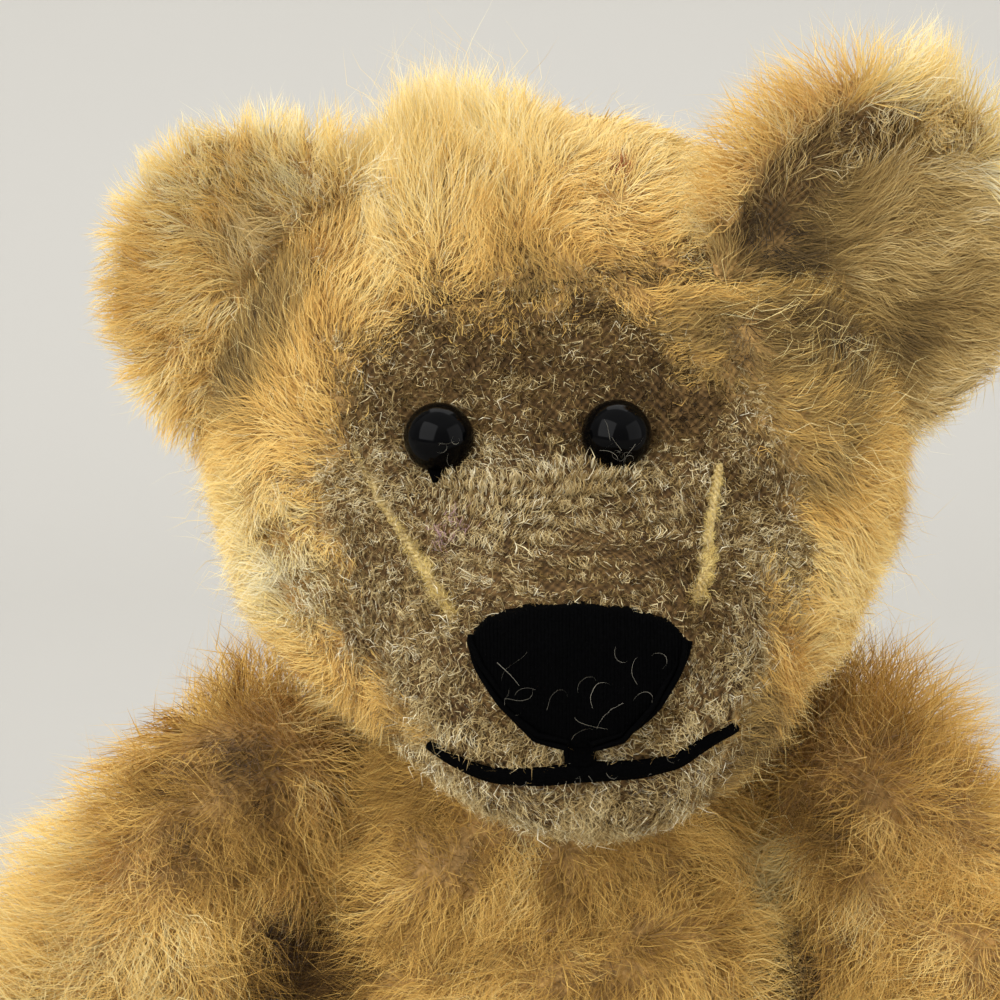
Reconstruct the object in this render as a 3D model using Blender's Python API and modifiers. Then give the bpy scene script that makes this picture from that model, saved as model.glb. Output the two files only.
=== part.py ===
"""Jointed mohair teddy bear, worn thin, sitting upright and facing -Y. Metres, +Z up.

"Left" and "right" are the bear's own, so its left side is at +X. The tables of stations are in millimetres.
"""

import math

import bmesh
import bpy
from mathutils import Matrix, Vector
from mathutils.bvhtree import BVHTree

MM = 0.001
SIDES = {"left": 1, "right": -1}
X, Y, Z = Vector((1, 0, 0)), Vector((0, 1, 0)), Vector((0, 0, 1))

# Gaps and walls
TOUCH = 0.3 * MM  # between two pieces that touch
FILLING_TOUCH = 0.6 * MM  # between stuffing and skin, whose coarse faces don't fold alike
SKIN_AT_JOINT = 1.2 * MM  # cloth alone, where the pile is crushed flat by a joint
HEAD_WALL = 6.0  # cloth and pile together, in the tables' millimetres
TORSO_WALL = 6.0
LIMB_WALL = 5.0

# Joints: where each stands, and how it is turned
NECK = Vector((0, 0, 113)) * MM
HEAD_YAW = math.radians(4)
HEAD_ROLL = math.radians(-0.4)
SHOULDER = Vector((31.5, 0, 87)) * MM
SHOULDER_TILT = math.radians(36)
SHOULDER_SEAT_RADIUS = 18 * MM  # how far the torso is pressed flat round an arm
NECK_SEAT_RADIUS = 27 * MM
ARM_SWING = {"left": math.radians(35), "right": math.radians(22)}
HIP = Vector((36, -6, 25)) * MM
LEG_SPLAY = math.radians(5)

# Joint hardware, measured along the joint's axis from the plane where the two skins meet
DISC_RADIUS = {"neck": 15 * MM, "shoulder": 9.5 * MM, "hip": 13 * MM}
DISC_SIDES = 10
WASHER_SIDES = 8
SEAT_SIDES = 16
DISC_THICKNESS = 2.4 * MM
WASHER_RADIUS = 6 * MM
WASHER_THICKNESS = 0.8 * MM
BORE_RADIUS = 2.0 * MM
PIN_WIRE_RADIUS = 0.7 * MM
PIN_SPACE_RADIUS = 7.3 * MM
PIN_SPACE_END = 10.3 * MM
PIN_EYE_TOP = 8.9
PIN_HALF = [(-6.6, 4.9), (-8.2, 4.3), (-8.4, 2.4), (-6.3, 0.85), (5.9, 0.85), (7.3, 1.9)]  # along, across
PIN_EYE_HALF_WIDTH = 1.2
SKIN_FACE = TOUCH / 2
DISC_START = SKIN_FACE + SKIN_AT_JOINT + TOUCH
DISC_DENT = 0.05 * MM  # the disc's pocket bites this far into the cloth, so that no two cuts share a plane
WASHER_START = DISC_START + DISC_THICKNESS + TOUCH

# Stations of each stuffed form: along, centre x, centre y, half width x, half width y.
# The head's run forward from the neck's axis, with x to its left and y up from the neck.
HEAD = [
    (-43, 0, 46, 0, 0),
    (-38, 0, 46, 23, 20),
    (-25, 0, 41.2, 39.5, 37.7),
    (-8, 0, 39.4, 47, 43.9),
    (10, 0, 38.5, 48, 43),
    (22, 0, 35.3, 44.5, 36.8),
    (30, 0, 29.8, 39, 31),
    (37, 0, 21.3, 31.5, 23.2),
    (46, 0, 18.2, 26, 20.2),
    (56, 0, 17.2, 21.5, 18.8),
    (64, 0, 18.8, 16.5, 15.5),
    (69.5, 0, 20, 0, 0),
]
# The torso's run up from the surface that it sits on.
TORSO = [
    (-5, 0, 0, 0, 0),
    (-2, 0, 0, 31, 28),
    (8, 0, 0, 39, 36),
    (34, 0, -2, 41, 39),
    (60, 0, -1, 40.5, 36),
    (77, 0, 0, 38.5, 31.5),
    (90, 0, 0.5, 33.5, 28),
    (103, 0, 1, 25.5, 24.5),
    (114, 0, 1, 19.5, 21),
    (121, 0, 1, 0, 0),
]
# A limb's run from its hinge towards the paw, with x outwards and y to its front.
ARM = [
    (-16, 14, 0, 0, 0),
    (-12, 14, 0, 11, 10.5),
    (2, 14.5, 0, 17.5, 16.5),
    (22, 14.5, 0, 18, 17),
    (42, 14, 0, 16.5, 16),
    (60, 13, 2, 14.5, 14.5),
    (75, 12.5, 4, 13, 13.5),
    (87, 12.5, 6, 9.5, 10.5),
    (94, 12.5, 7, 0, 0),
]
LEG = [
    (-24, 12.5, -4, 0, 0),
    (-19, 12.5, -4, 12, 14),
    (-4, 12.5, -5.5, 16.5, 19.5),
    (20, 12.5, -6.5, 16.5, 19.5),
    (50, 12.5, -8.5, 14.8, 17.5),
    (74, 12.5, -8, 14, 18),
    (87, 12.5, -0.5, 15.5, 25),
    (98, 12.5, 3, 16.5, 28),
    (104, 12.5, 3, 0, 0),
]
RING_POINTS = {"head": 12, "torso": 10, "arm": 8, "leg": 8}
HOLLOW_RING_POINTS = 8
RING_SQUARENESS = 2.25

# How far the cutters reach past what they cut
CUTTER_REACH = 150 * MM
SEAT_CUTTER_REACH = 50 * MM
FLOOR_CUT = 30 * MM

# Face, seen from straight ahead: x, and height above the neck
EYES = {"left": (7.0, 46.1), "right": (-15.8, 45.8)}
EYE_RADIUS = 4.6 * MM
EYE_PROUD = 1.4 * MM
NOSE_MIDDLE = 1.5
NOSE = [(0, 33.5), (6, 33), (11, 31), (13, 28.3), (12, 24.8), (9, 20.4), (5, 16.8), (0, 15.5)]
NOSE_THICKNESS = 2.2 * MM
NOSE_DRAWN = (45 * MM, 80 * MM)  # the depths in front of the neck's axis that hold the nose's layer
MOUTH = {
    "mouth_stitch_left": [(2.4, 11), (6, 10.6), (9.5, 10.8), (14, 12), (18, 13.6), (20.5, 15.4)],
    "mouth_stitch_right": [(1.2, 11), (-3, 9.8), (-8, 9.3), (-12, 9.7), (-15, 10.7), (-16.6, 11.9)],
    "mouth_stitch_middle": [(1.6, 14), (1.7, 12.4)],
}
MOUTH_RADIUS = 0.9 * MM
SEAMS = {
    "gusset_seam_left": [(20.3, 41.5), (19.2, 37.5), (17.8, 34.2), (16.4, 31.8), (15.4, 30.6)],
    "gusset_seam_right": [(-27.5, 44), (-24, 38.5), (-20, 33.8), (-16, 30.2), (-13.2, 28.2)],
}
SEAM_RADIUS = 0.6 * MM
THREAD_LIFT = 0.45 * MM  # off the skin's faces, so that a straight run of thread clears them
THREAD_STEP = 3.0

# Ears: centre from the neck, half width, half thickness and half height, and how they are turned
EARS = {
    "left": {"centre": (40.5, -6.5, 65.5), "size": (26.5, 7, 26), "lean": 38, "open": 24},
    "right": {"centre": (-39, -1, 60), "size": (24, 7, 23.5), "lean": -42, "open": -19},
}
EAR_CUP = 8 * MM

# Felt pads, in the limb's millimetres: middle and half sizes along and across it, and the depths
# that they are cut between
PAD_THICKNESS = 1.3 * MM
PAW_PAD = {"centre": (76, 11.3), "half": (13, 7.5), "drawn": (6, 30)}
FOOT_PAD = {"centre": (3.5, 13), "half": (21, 11.5), "drawn": (90, 115)}
PAD_POINTS = 10

MATERIALS = {
    "mohair": ((0.60, 0.40, 0.17), 0.95, 0.0),
    "felt": ((0.45, 0.33, 0.20), 0.95, 0.0),
    "stuffing": ((0.72, 0.62, 0.42), 1.0, 0.0),
    "black_glass": ((0.01, 0.01, 0.012), 0.08, 0.0),
    "black_thread": ((0.012, 0.011, 0.012), 0.7, 0.0),
    "straw_thread": ((0.70, 0.55, 0.28), 0.8, 0.0),
    "hardboard": ((0.28, 0.17, 0.09), 0.8, 0.0),
    "steel": ((0.45, 0.44, 0.42), 0.35, 1.0),
}


def clear_scene():
    for old in list(bpy.data.objects):
        bpy.data.objects.remove(old, do_unlink=True)


def make_collection(name):
    made = bpy.data.collections.new(name)
    bpy.context.scene.collection.children.link(made)
    return made


def make_material(name, colour, roughness, metallic):
    made = bpy.data.materials.new(name)
    made.use_nodes = True
    shader = made.node_tree.nodes["Principled BSDF"]
    shader.inputs["Base Color"].default_value = (*colour, 1)
    shader.inputs["Roughness"].default_value = roughness
    shader.inputs["Metallic"].default_value = metallic
    return made


def make_piece(name, mesh, material, parent=None):
    """A part of the bear. Its mesh is in its parent's frame."""
    piece = bpy.data.objects.new(name, mesh)
    bpy.data.collections["teddy_bear"].objects.link(piece)
    mesh.materials.append(bpy.data.materials[material])
    piece.parent = parent
    return piece


def make_cutter(name, mesh, parent=None):
    cutter = bpy.data.objects.new(name, mesh)
    bpy.data.collections["cutters"].objects.link(cutter)
    cutter.parent = parent
    cutter.hide_render = True
    cutter.display_type = "WIRE"
    return cutter


def make_frame(name, matrix):
    """An empty that stands at a joint, with its x axis along the joint's."""
    frame = bpy.data.objects.new(name, None)
    bpy.data.collections["teddy_bear"].objects.link(frame)
    frame.matrix_world = matrix
    return frame


def combine(piece, other, operation="DIFFERENCE"):
    boolean = piece.modifiers.new(f"{operation.lower()}_{other.name}", "BOOLEAN")
    boolean.operation = operation
    boolean.object = other


def to_mesh(name, bm, smooth=True):
    bmesh.ops.recalc_face_normals(bm, faces=bm.faces)
    mesh = bpy.data.meshes.new(name)
    bm.to_mesh(mesh)
    bm.free()
    if smooth:
        mesh.shade_smooth()
        mesh.set_sharp_from_angle(angle=math.radians(50))
    return mesh


def thinned(stations, wall):
    """The same form with a wall taken off it all round."""
    first, *middle, last = stations
    ends = [(first[0] + wall, *first[1:]), (last[0] - wall, *last[1:])]
    rings = [
        (along, cx, cy, half_x - wall, half_y - wall)
        for along, cx, cy, half_x, half_y in middle
        if ends[0][0] + 1 < along < ends[1][0] - 1
    ]
    return [ends[0], *rings, ends[1]]


def cage_spread(points):
    """A smooth curve through a ring's cage runs inside it by this factor."""
    return 3 / (2 + math.cos(2 * math.pi / points))


def stuffed_mesh(name, stations, points, turn=None, spread=1):
    """Rings extruded from station to station, closed by a fan at either end."""
    first, *rings, last = stations
    bm = bmesh.new()
    made = bmesh.ops.create_circle(bm, cap_ends=True, cap_tris=True, segments=points, radius=1)
    centre = next(v for v in made["verts"] if v.co.length < 0.5)
    ring = [v for v in made["verts"] if v is not centre]
    for vert in ring:
        for axis in (0, 1):
            value = vert.co[axis]
            vert.co[axis] = math.copysign(abs(value) ** (2 / RING_SQUARENESS), value) * spread
    along, cx, cy, half_x, half_y = (value * MM for value in rings[0])
    bmesh.ops.scale(bm, vec=(half_x, half_y, 1), verts=ring)
    bmesh.ops.translate(bm, vec=(cx, cy, along), verts=ring)
    centre.co = Vector((first[1], first[2], first[0])) * MM
    for before, after in zip(rings, rings[1:]):
        edges = [e for e in bm.edges if e.verts[0] in ring and e.verts[1] in ring]
        grown = bmesh.ops.extrude_edge_only(bm, edges=edges)["geom"]
        ring = [g for g in grown if isinstance(g, bmesh.types.BMVert)]
        middle = Vector((before[1], before[2], before[0])) * MM
        stretch = (after[3] / before[3], after[4] / before[4], 1)
        bmesh.ops.scale(bm, vec=stretch, space=Matrix.Translation(-middle), verts=ring)
        step = Vector((after[1], after[2], after[0])) * MM - middle
        bmesh.ops.translate(bm, vec=step, verts=ring)
    edges = [e for e in bm.edges if e.verts[0] in ring and e.verts[1] in ring]
    cap = bmesh.ops.contextual_create(bm, geom=edges)["faces"]
    pole = bmesh.ops.poke(bm, faces=cap)["verts"][0]
    pole.co = Vector((last[1], last[2], last[0])) * MM
    if turn is not None:
        bmesh.ops.transform(bm, matrix=turn, verts=bm.verts)
    return to_mesh(name, bm)


def subdivide(piece):
    surface = piece.modifiers.new("soft_form", "SUBSURF")
    surface.levels = surface.render_levels = 1


def grown_mesh(form, amount):
    """The form's mesh as it is now, with each point moved out along its normal."""
    bpy.context.view_layer.update()
    mesh = bpy.data.meshes.new_from_object(form.evaluated_get(bpy.context.evaluated_depsgraph_get()))
    normals = [vert.normal.copy() for vert in mesh.vertices]
    for vert, normal in zip(mesh.vertices, normals):
        vert.co += normal * amount
    return mesh


def grown_copy(name, form, amount):
    return make_cutter(name, grown_mesh(form, amount), form.parent)


def block(name, low, high, parent=None):
    bm = bmesh.new()
    bmesh.ops.create_cube(bm, size=1)
    bmesh.ops.scale(bm, vec=high - low, verts=bm.verts)
    bmesh.ops.translate(bm, vec=(low + high) / 2, verts=bm.verts)
    return make_cutter(name, to_mesh(name, bm, smooth=False), parent)


def half_space(name, depth, parent):
    """Everything on the far side of the plane x = depth of a joint's frame: the inner side for depth > 0."""
    near, far = sorted((depth, -math.copysign(CUTTER_REACH, depth)))
    low, high = (near, -CUTTER_REACH, -CUTTER_REACH), (far, CUTTER_REACH, CUTTER_REACH)
    return block(name, Vector(low), Vector(high), parent)


def turned(name, profile, steps):
    """A closed ring or a solid turned about x from (radius, x) points, listed round its section."""
    bm = bmesh.new()
    verts = [bm.verts.new((along, 0, radius)) for radius, along in profile]
    edges = [bm.edges.new(pair) for pair in zip(verts, verts[1:])]
    if profile[0][0] > 0:
        edges.append(bm.edges.new((verts[-1], verts[0])))
    bmesh.ops.spin(
        bm, geom=verts + edges, axis=X, cent=(0, 0, 0), angle=2 * math.pi, steps=steps, use_merge=True
    )
    bmesh.ops.remove_doubles(bm, verts=bm.verts, dist=0.01 * MM)
    return to_mesh(name, bm)


def ring_plate(name, start, thickness, radius, steps, material, parent, outward):
    ends = (outward * start, outward * (start + thickness))
    profile = [(BORE_RADIUS, ends[0]), (radius, ends[0]), (radius, ends[1]), (BORE_RADIUS, ends[1])]
    return make_piece(name, turned(name, profile, steps), material, parent)


def joint_space(name, disc_radius, outward, parent):
    """The room for one side of a joint: a bore through the skin, then the disc's and the pin's pockets."""
    wide = disc_radius + TOUCH
    profile = [
        (0, -TOUCH),
        (BORE_RADIUS, -TOUCH),
        (BORE_RADIUS, DISC_START - TOUCH - DISC_DENT),
        (wide, DISC_START - TOUCH - DISC_DENT),
        (wide, WASHER_START),
        (PIN_SPACE_RADIUS, WASHER_START),
        (PIN_SPACE_RADIUS, PIN_SPACE_END),
        (0, PIN_SPACE_END),
    ]
    profile = [(radius, outward * along) for radius, along in profile]
    return make_cutter(name, turned(name, profile, DISC_SIDES), parent)


def tube(name, points, radius, material, parent=None, resolution=1):
    """A round wire or thread with closed ends, as a mesh, through points in its parent's frame."""
    curve = bpy.data.curves.new(name, "CURVE")
    curve.dimensions = "3D"
    curve.bevel_depth = radius
    curve.bevel_resolution = resolution
    curve.use_fill_caps = True
    spline = curve.splines.new("POLY")
    spline.points.add(len(points) - 1)
    for place, point in zip(spline.points, points):
        place.co = (*point, 1)
    guide = make_cutter(name + "_curve", curve)
    bpy.context.view_layer.update()
    mesh = bpy.data.meshes.new_from_object(guide.evaluated_get(bpy.context.evaluated_depsgraph_get()))
    bpy.data.objects.remove(guide)
    bm = bmesh.new()
    bm.from_mesh(mesh)
    bpy.data.meshes.remove(mesh)
    bmesh.ops.remove_doubles(bm, verts=bm.verts, dist=0.001 * MM)
    mesh = to_mesh(name, bm)
    return make_piece(name, mesh, material, parent)


def cotter_pin(name, frame):
    """One split pin: an eye outside the limb's washer, two legs through both sides, and curled ends."""
    right_leg = [Vector((along, 0, across)) * MM for along, across in PIN_HALF]
    left_leg = [Vector((point.x, 0, -point.z)) for point in reversed(right_leg)]
    eye_top = [Vector((PIN_EYE_TOP, 0, side * PIN_EYE_HALF_WIDTH)) * MM for side in SIDES.values()]
    return tube(name, right_leg + eye_top + left_leg, PIN_WIRE_RADIUS, "steel", frame, resolution=0)


def joint_hardware(label, kind, frame, torso_pieces, outer_pieces):
    """Discs, washers and pin of one joint, and the room for them in the pieces of either side.

    The inner side and the pin stay with the torso, so they hang on an empty that doesn't turn.
    """
    radius = DISC_RADIUS[kind]
    seat = make_frame(f"{label}_seat", frame.matrix_world)
    for side_name, outward, parent, pieces in (
        ("inner", -1, seat, torso_pieces),
        ("outer", 1, frame, outer_pieces),
    ):
        room = joint_space(f"{label}_{side_name}_room", radius, outward, frame)
        for piece in pieces:
            combine(piece, room)
        disc = f"{label}_{side_name}_disc"
        size = (DISC_START, DISC_THICKNESS, radius, DISC_SIDES)
        ring_plate(disc, *size, "hardboard", parent, outward)
        washer = f"{label}_{side_name}_washer"
        size = (WASHER_START, WASHER_THICKNESS, WASHER_RADIUS, WASHER_SIDES)
        ring_plate(washer, *size, "steel", parent, outward)
    cotter_pin(f"{label}_cotter_pin", seat)


def skin_and_filling(label, stations, wall, frame, points, outward, turn=None):
    """A skin with its hollow, and the stuffing in it, both cut flat at the joints."""
    cage = stuffed_mesh(f"{label}_skin", stations, points, turn, cage_spread(points))
    skin = make_piece(cage.name, cage, "mohair", frame)
    subdivide(skin)
    inside = stuffed_mesh(f"{label}_hollow", thinned(stations, wall), HOLLOW_RING_POINTS, turn)
    hollow = make_cutter(inside.name, inside, frame)
    core = grown_mesh(hollow, -FILLING_TOUCH)
    core.materials.clear()
    filling = make_piece(f"{label}_filling", core, "stuffing", frame)
    return skin, hollow, filling


def seat_cutter(name, depth, radius, parent):
    """A round block that ends on the plane x = depth of a joint's frame, on the side away from the piece."""
    far = -math.copysign(SEAT_CUTTER_REACH, depth)
    profile = [(0, depth), (radius, depth), (radius, far), (0, far)]
    return make_cutter(name, turned(name, profile, SEAT_SIDES), parent)


def flatten(pieces, joint_label, joint, outward, radius=None):
    """Cuts a skin, its hollow and its filling at a joint's plane, each a little deeper than the last."""
    depths = (SKIN_FACE, SKIN_FACE + SKIN_AT_JOINT, DISC_START)
    for piece, depth in zip(pieces, depths):
        name = f"{piece.name}_{joint_label}_plane"
        if radius is None:
            combine(piece, half_space(name, outward * depth, joint))
        else:
            combine(piece, seat_cutter(name, outward * depth, radius + depth, joint))


def limb_frame(place, axis, direction, name):
    """x along the joint's axis, away from the torso, and z along the limb."""
    across = direction.cross(axis)
    matrix = Matrix((axis, across, direction)).transposed().to_4x4()
    return make_frame(name, Matrix.Translation(place) @ matrix)


def limb_stations(table, side):
    return [(along, cx, cy * side, half_x, half_y) for along, cx, cy, half_x, half_y in table]


def ellipse(centre, half, count):
    angles = [2 * math.pi * i / count for i in range(count)]
    return [(centre[0] + half[0] * math.cos(a), centre[1] + half[1] * math.sin(a)) for a in angles]


def prism(name, outline, low, high, place, parent=None):
    """A flat outline drawn out between two heights, then placed by a matrix."""
    bm = bmesh.new()
    face = bm.faces.new([bm.verts.new((x, y, low)) for x, y in outline])
    top = bmesh.ops.extrude_face_region(bm, geom=[face])["geom"]
    verts = [g for g in top if isinstance(g, bmesh.types.BMVert)]
    bmesh.ops.translate(bm, vec=(0, 0, high - low), verts=verts)
    bmesh.ops.transform(bm, matrix=place, verts=bm.verts)
    return to_mesh(name, bm, smooth=False)


def patch(name, outline, low, high, place, form, thickness, material):
    """A thin piece that lies on a form: what its outline cuts out of a layer over the form."""
    piece = make_piece(name, prism(name, outline, low, high, place), material, form.parent)
    combine(piece, grown_copy(name + "_outside", form, TOUCH + thickness), "INTERSECT")
    combine(piece, grown_copy(name + "_inside", form, TOUCH))
    return piece


def limb_pads(label, form, side):
    """The felt paw pad, on the inner front of the forearm, or the sole pad on the foot's flat end."""
    is_arm = label.startswith("arm")
    pad = PAW_PAD if is_arm else FOOT_PAD
    centre, half = pad["centre"][::-1], pad["half"][::-1]
    # A paw pad's outline has x across the limb and y along it, and is drawn out to the limb's front.
    place = Matrix(((1, 0, 0), (0, 0, side), (0, 1, 0))).to_4x4() if is_arm else Matrix()
    flip = 1 if is_arm else side
    outline = [(x * MM, y * MM * flip) for x, y in ellipse(centre, half, PAD_POINTS)]
    low, high = (depth * MM for depth in pad["drawn"])
    name = f"{label}_paw_pad" if is_arm else f"{label}_sole_pad"
    return patch(name, outline, low, high, place, form, PAD_THICKNESS, "felt")


def build_limb(label, table, side, frame, torso, kind):
    stations = limb_stations(table, side)
    pieces = skin_and_filling(label, stations, LIMB_WALL, frame, RING_POINTS[label.split("_")[0]], 1)
    limb_pads(label, pieces[0], side)
    joint = label.replace("arm", "shoulder").replace("leg", "hip")
    flatten(pieces, joint, frame, 1)
    flatten(torso, joint, frame, -1, SHOULDER_SEAT_RADIUS if kind == "shoulder" else None)
    if kind == "hip":
        combine(pieces[0], bpy.data.objects["floor"])
    skin, hollow, filling = pieces
    combine(skin, hollow)
    return joint, [skin, filling]


def build_torso():
    pieces = skin_and_filling("torso", TORSO, TORSO_WALL, None, RING_POINTS["torso"], -1)
    low, high = (-CUTTER_REACH, -CUTTER_REACH, -FLOOR_CUT), (CUTTER_REACH, CUTTER_REACH, 0)
    floor = block("floor", Vector(low), Vector(high))
    combine(pieces[0], floor)
    return pieces


def head_turn():
    """From the head's own station frame to the neck's: forwards is -y, then the slight turn and tilt."""
    forwards = Matrix(((1, 0, 0), (0, 0, -1), (0, 1, 0))).to_4x4()
    return Matrix.Rotation(HEAD_YAW, 4, "Z") @ Matrix.Rotation(HEAD_ROLL, 4, "Y") @ forwards


def neck_frame():
    """x up the neck's axis, as in every joint's frame, with z to the bear's left."""
    matrix = Matrix((Z, X.cross(Z), X)).transposed().to_4x4()
    return make_frame("neck", Matrix.Translation(NECK) @ matrix)


def head_form():
    frame = neck_frame()
    to_frame = frame.matrix_world.to_3x3().inverted().to_4x4()
    pieces = skin_and_filling("head", HEAD, HEAD_WALL, frame, RING_POINTS["head"], 1, to_frame @ head_turn())
    return frame, to_frame, pieces


def surface_finder(form):
    """Returns a function that gives the point and normal of a form met from straight ahead at (x, height)."""
    bpy.context.view_layer.update()
    graph = bpy.context.evaluated_depsgraph_get()
    tree = BVHTree.FromObject(form, graph)
    to_local = form.matrix_world.inverted()

    def find(x, height, proud=0.0):
        start = Vector((x * MM, -0.2, NECK.z + height * MM))
        hit, normal, _, _ = tree.ray_cast(to_local @ start, to_local.to_3x3() @ Y)
        return hit + normal * proud, normal

    return find


def dense(points, step):
    """Points about a step apart along a polyline of (x, height) pairs."""
    found = [points[0]]
    for (x0, z0), (x1, z1) in zip(points, points[1:]):
        count = max(1, round(math.hypot(x1 - x0, z1 - z0) / step))
        found += [(x0 + (x1 - x0) * i / count, z0 + (z1 - z0) * i / count) for i in range(1, count + 1)]
    return found


def build_eyes(find, frame, skin):
    for side, (x, height) in EYES.items():
        place, _ = find(x, height, EYE_PROUD)
        for radius, make in ((EYE_RADIUS, "eye"), (EYE_RADIUS + TOUCH, "socket")):
            bm = bmesh.new()
            bmesh.ops.create_uvsphere(bm, u_segments=12, v_segments=8, radius=radius)
            bmesh.ops.rotate(bm, cent=(0, 0, 0), matrix=Matrix.Rotation(math.pi / 2, 3, "Y"), verts=bm.verts)
            bmesh.ops.translate(bm, vec=place, verts=bm.verts)
            mesh = to_mesh(f"{make}_{side}", bm)
            if make == "eye":
                make_piece(mesh.name, mesh, "black_glass", frame)
            else:
                combine(skin, make_cutter(mesh.name, mesh, frame))


def build_nose(frame, to_frame, skin):
    half = [(x + NOSE_MIDDLE, z) for x, z in NOSE]
    other = [(2 * NOSE_MIDDLE - x, z) for x, z in half[-2:0:-1]]
    outline = [(x * MM, z * MM) for x, z in half + other]
    # The outline stands upright, x to the bear's left, and is drawn out forwards.
    upright = to_frame @ Matrix(((1, 0, 0), (0, 0, -1), (0, 1, 0))).to_4x4()
    patch("nose_stitching", outline, *NOSE_DRAWN, upright, skin, NOSE_THICKNESS, "black_thread")


def build_face_threads(find, frame):
    threads = [(*item, MOUTH_RADIUS, "black_thread") for item in MOUTH.items()]
    threads += [(*item, SEAM_RADIUS, "straw_thread") for item in SEAMS.items()]
    for name, route, radius, material in threads:
        proud = radius + THREAD_LIFT
        points = [find(x, height, proud)[0] for x, height in dense(route, THREAD_STEP)]
        tube(name, points, radius, material, frame)


def ear_mesh(name, shape):
    """A rounded leaf, cupped to the front, before it is trimmed to the head."""
    half_x, half_y, half_z = (value * MM for value in shape["size"])
    bm = bmesh.new()
    bmesh.ops.create_uvsphere(bm, u_segments=16, v_segments=8, radius=1)
    bmesh.ops.rotate(bm, cent=(0, 0, 0), matrix=Matrix.Rotation(math.pi / 2, 3, "X"), verts=bm.verts)
    for vert in bm.verts:
        cup = vert.co.x**2 + vert.co.z**2
        vert.co = (vert.co.x * half_x, vert.co.y * half_y - cup * EAR_CUP, vert.co.z * half_z)
    turn = Matrix.Rotation(math.radians(shape["open"]), 4, "Z") @ Matrix.Rotation(
        math.radians(shape["lean"]), 4, "Y"
    )
    bmesh.ops.transform(bm, matrix=Matrix.Translation(Vector(shape["centre"]) * MM) @ turn, verts=bm.verts)
    return bm


def build_ears(frame, to_frame, skin):
    for side, shape in EARS.items():
        name = f"ear_{side}"
        bm = ear_mesh(name, shape)
        bmesh.ops.transform(bm, matrix=to_frame, verts=bm.verts)
        ear = make_piece(name, to_mesh(name, bm), "mohair", frame)
        combine(ear, grown_copy(name + "_seat", skin, TOUCH))


def build_head(torso):
    frame, to_frame, pieces = head_form()
    skin, hollow, filling = pieces
    find = surface_finder(skin)
    build_nose(frame, to_frame, skin)
    build_ears(frame, to_frame, skin)
    build_face_threads(find, frame)
    flatten(pieces, "neck", frame, 1, NECK_SEAT_RADIUS)
    flatten(torso, "neck", frame, -1)
    build_eyes(find, frame, skin)
    combine(skin, hollow)
    joint_hardware("neck", "neck", frame, [torso[0], torso[2]], [skin, filling])


def build_limbs(torso):
    for side, sign in SIDES.items():
        flip = Vector((sign, 1, 1))
        tilt, swing = SHOULDER_TILT, ARM_SWING[side]
        axis = Vector((math.cos(tilt), 0, math.sin(tilt))) * flip
        down = Vector((math.sin(tilt), 0, -math.cos(tilt))) * flip
        shoulder = limb_frame(
            SHOULDER * flip, axis, down * math.cos(swing) - Y * math.sin(swing), f"shoulder_{side}"
        )
        joint, outer = build_limb(f"arm_{side}", ARM, sign, shoulder, torso, "shoulder")
        joint_hardware(joint, "shoulder", shoulder, [torso[0], torso[2]], outer)
        axis = Vector((math.cos(LEG_SPLAY), math.sin(LEG_SPLAY), 0)) * flip
        forwards = Vector((math.sin(LEG_SPLAY), -math.cos(LEG_SPLAY), 0)) * flip
        hip = limb_frame(HIP * flip, axis, forwards, f"hip_{side}")
        joint, outer = build_limb(f"leg_{side}", LEG, sign, hip, torso, "hip")
        joint_hardware(joint, "hip", hip, [torso[0], torso[2]], outer)


def main():
    clear_scene()
    make_collection("teddy_bear")
    make_collection("cutters")
    for name, look in MATERIALS.items():
        make_material(name, *look)
    torso = build_torso()
    build_head(torso)
    build_limbs(torso)
    combine(torso[0], torso[1])


main()
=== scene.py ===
"""Worn mohair bear: sewn cloth, pile, stitched face and stage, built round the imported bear.

Lengths are in metres, in the frame's own axes: +Z up, the bear faces -Y and its left side is at +X.
"""

import math

import bmesh
import bpy
import numpy as np
from mathutils import Matrix, Vector
from mathutils.bvhtree import BVHTree


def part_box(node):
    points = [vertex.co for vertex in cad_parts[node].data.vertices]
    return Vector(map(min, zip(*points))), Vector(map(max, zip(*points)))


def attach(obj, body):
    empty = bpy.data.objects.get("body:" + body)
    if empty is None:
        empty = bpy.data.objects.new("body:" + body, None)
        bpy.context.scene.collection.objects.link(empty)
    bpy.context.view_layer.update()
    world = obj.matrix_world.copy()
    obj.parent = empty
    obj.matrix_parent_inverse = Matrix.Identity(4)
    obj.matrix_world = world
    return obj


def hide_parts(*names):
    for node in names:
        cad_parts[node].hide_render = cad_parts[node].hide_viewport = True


bl_info = {
    "name": "Worn Mohair Bear",
    "version": (1, 0, 0),
    "blender": (4, 5, 0),
    "location": "View3D > Sidebar > Bear",
    "description": "Dresses a jointed bear in worn mohair, with stitched features and a stage",
    "category": "Object",
}

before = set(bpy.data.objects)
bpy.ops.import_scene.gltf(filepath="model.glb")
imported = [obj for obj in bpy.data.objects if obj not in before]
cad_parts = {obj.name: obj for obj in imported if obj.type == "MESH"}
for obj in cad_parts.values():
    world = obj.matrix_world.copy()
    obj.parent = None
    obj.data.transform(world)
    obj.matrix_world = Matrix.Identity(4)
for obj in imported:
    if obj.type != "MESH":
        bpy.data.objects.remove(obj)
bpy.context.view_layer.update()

MM = 0.001
WELD = 0.002 * MM  # points closer than this are one
PER_SQUARE_MM = 1e6  # a density of one strand a square millimetre, in strands a square metre
AHEAD = -0.3  # a y that is well in front of the bear
SIDES = {"left": 1, "right": -1}
BAKE_MAP = "OFBake"  # u is a strand's shade, v runs from its root to its tip


def middle(node):
    low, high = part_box(node)
    return (low + high) / 2


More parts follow.
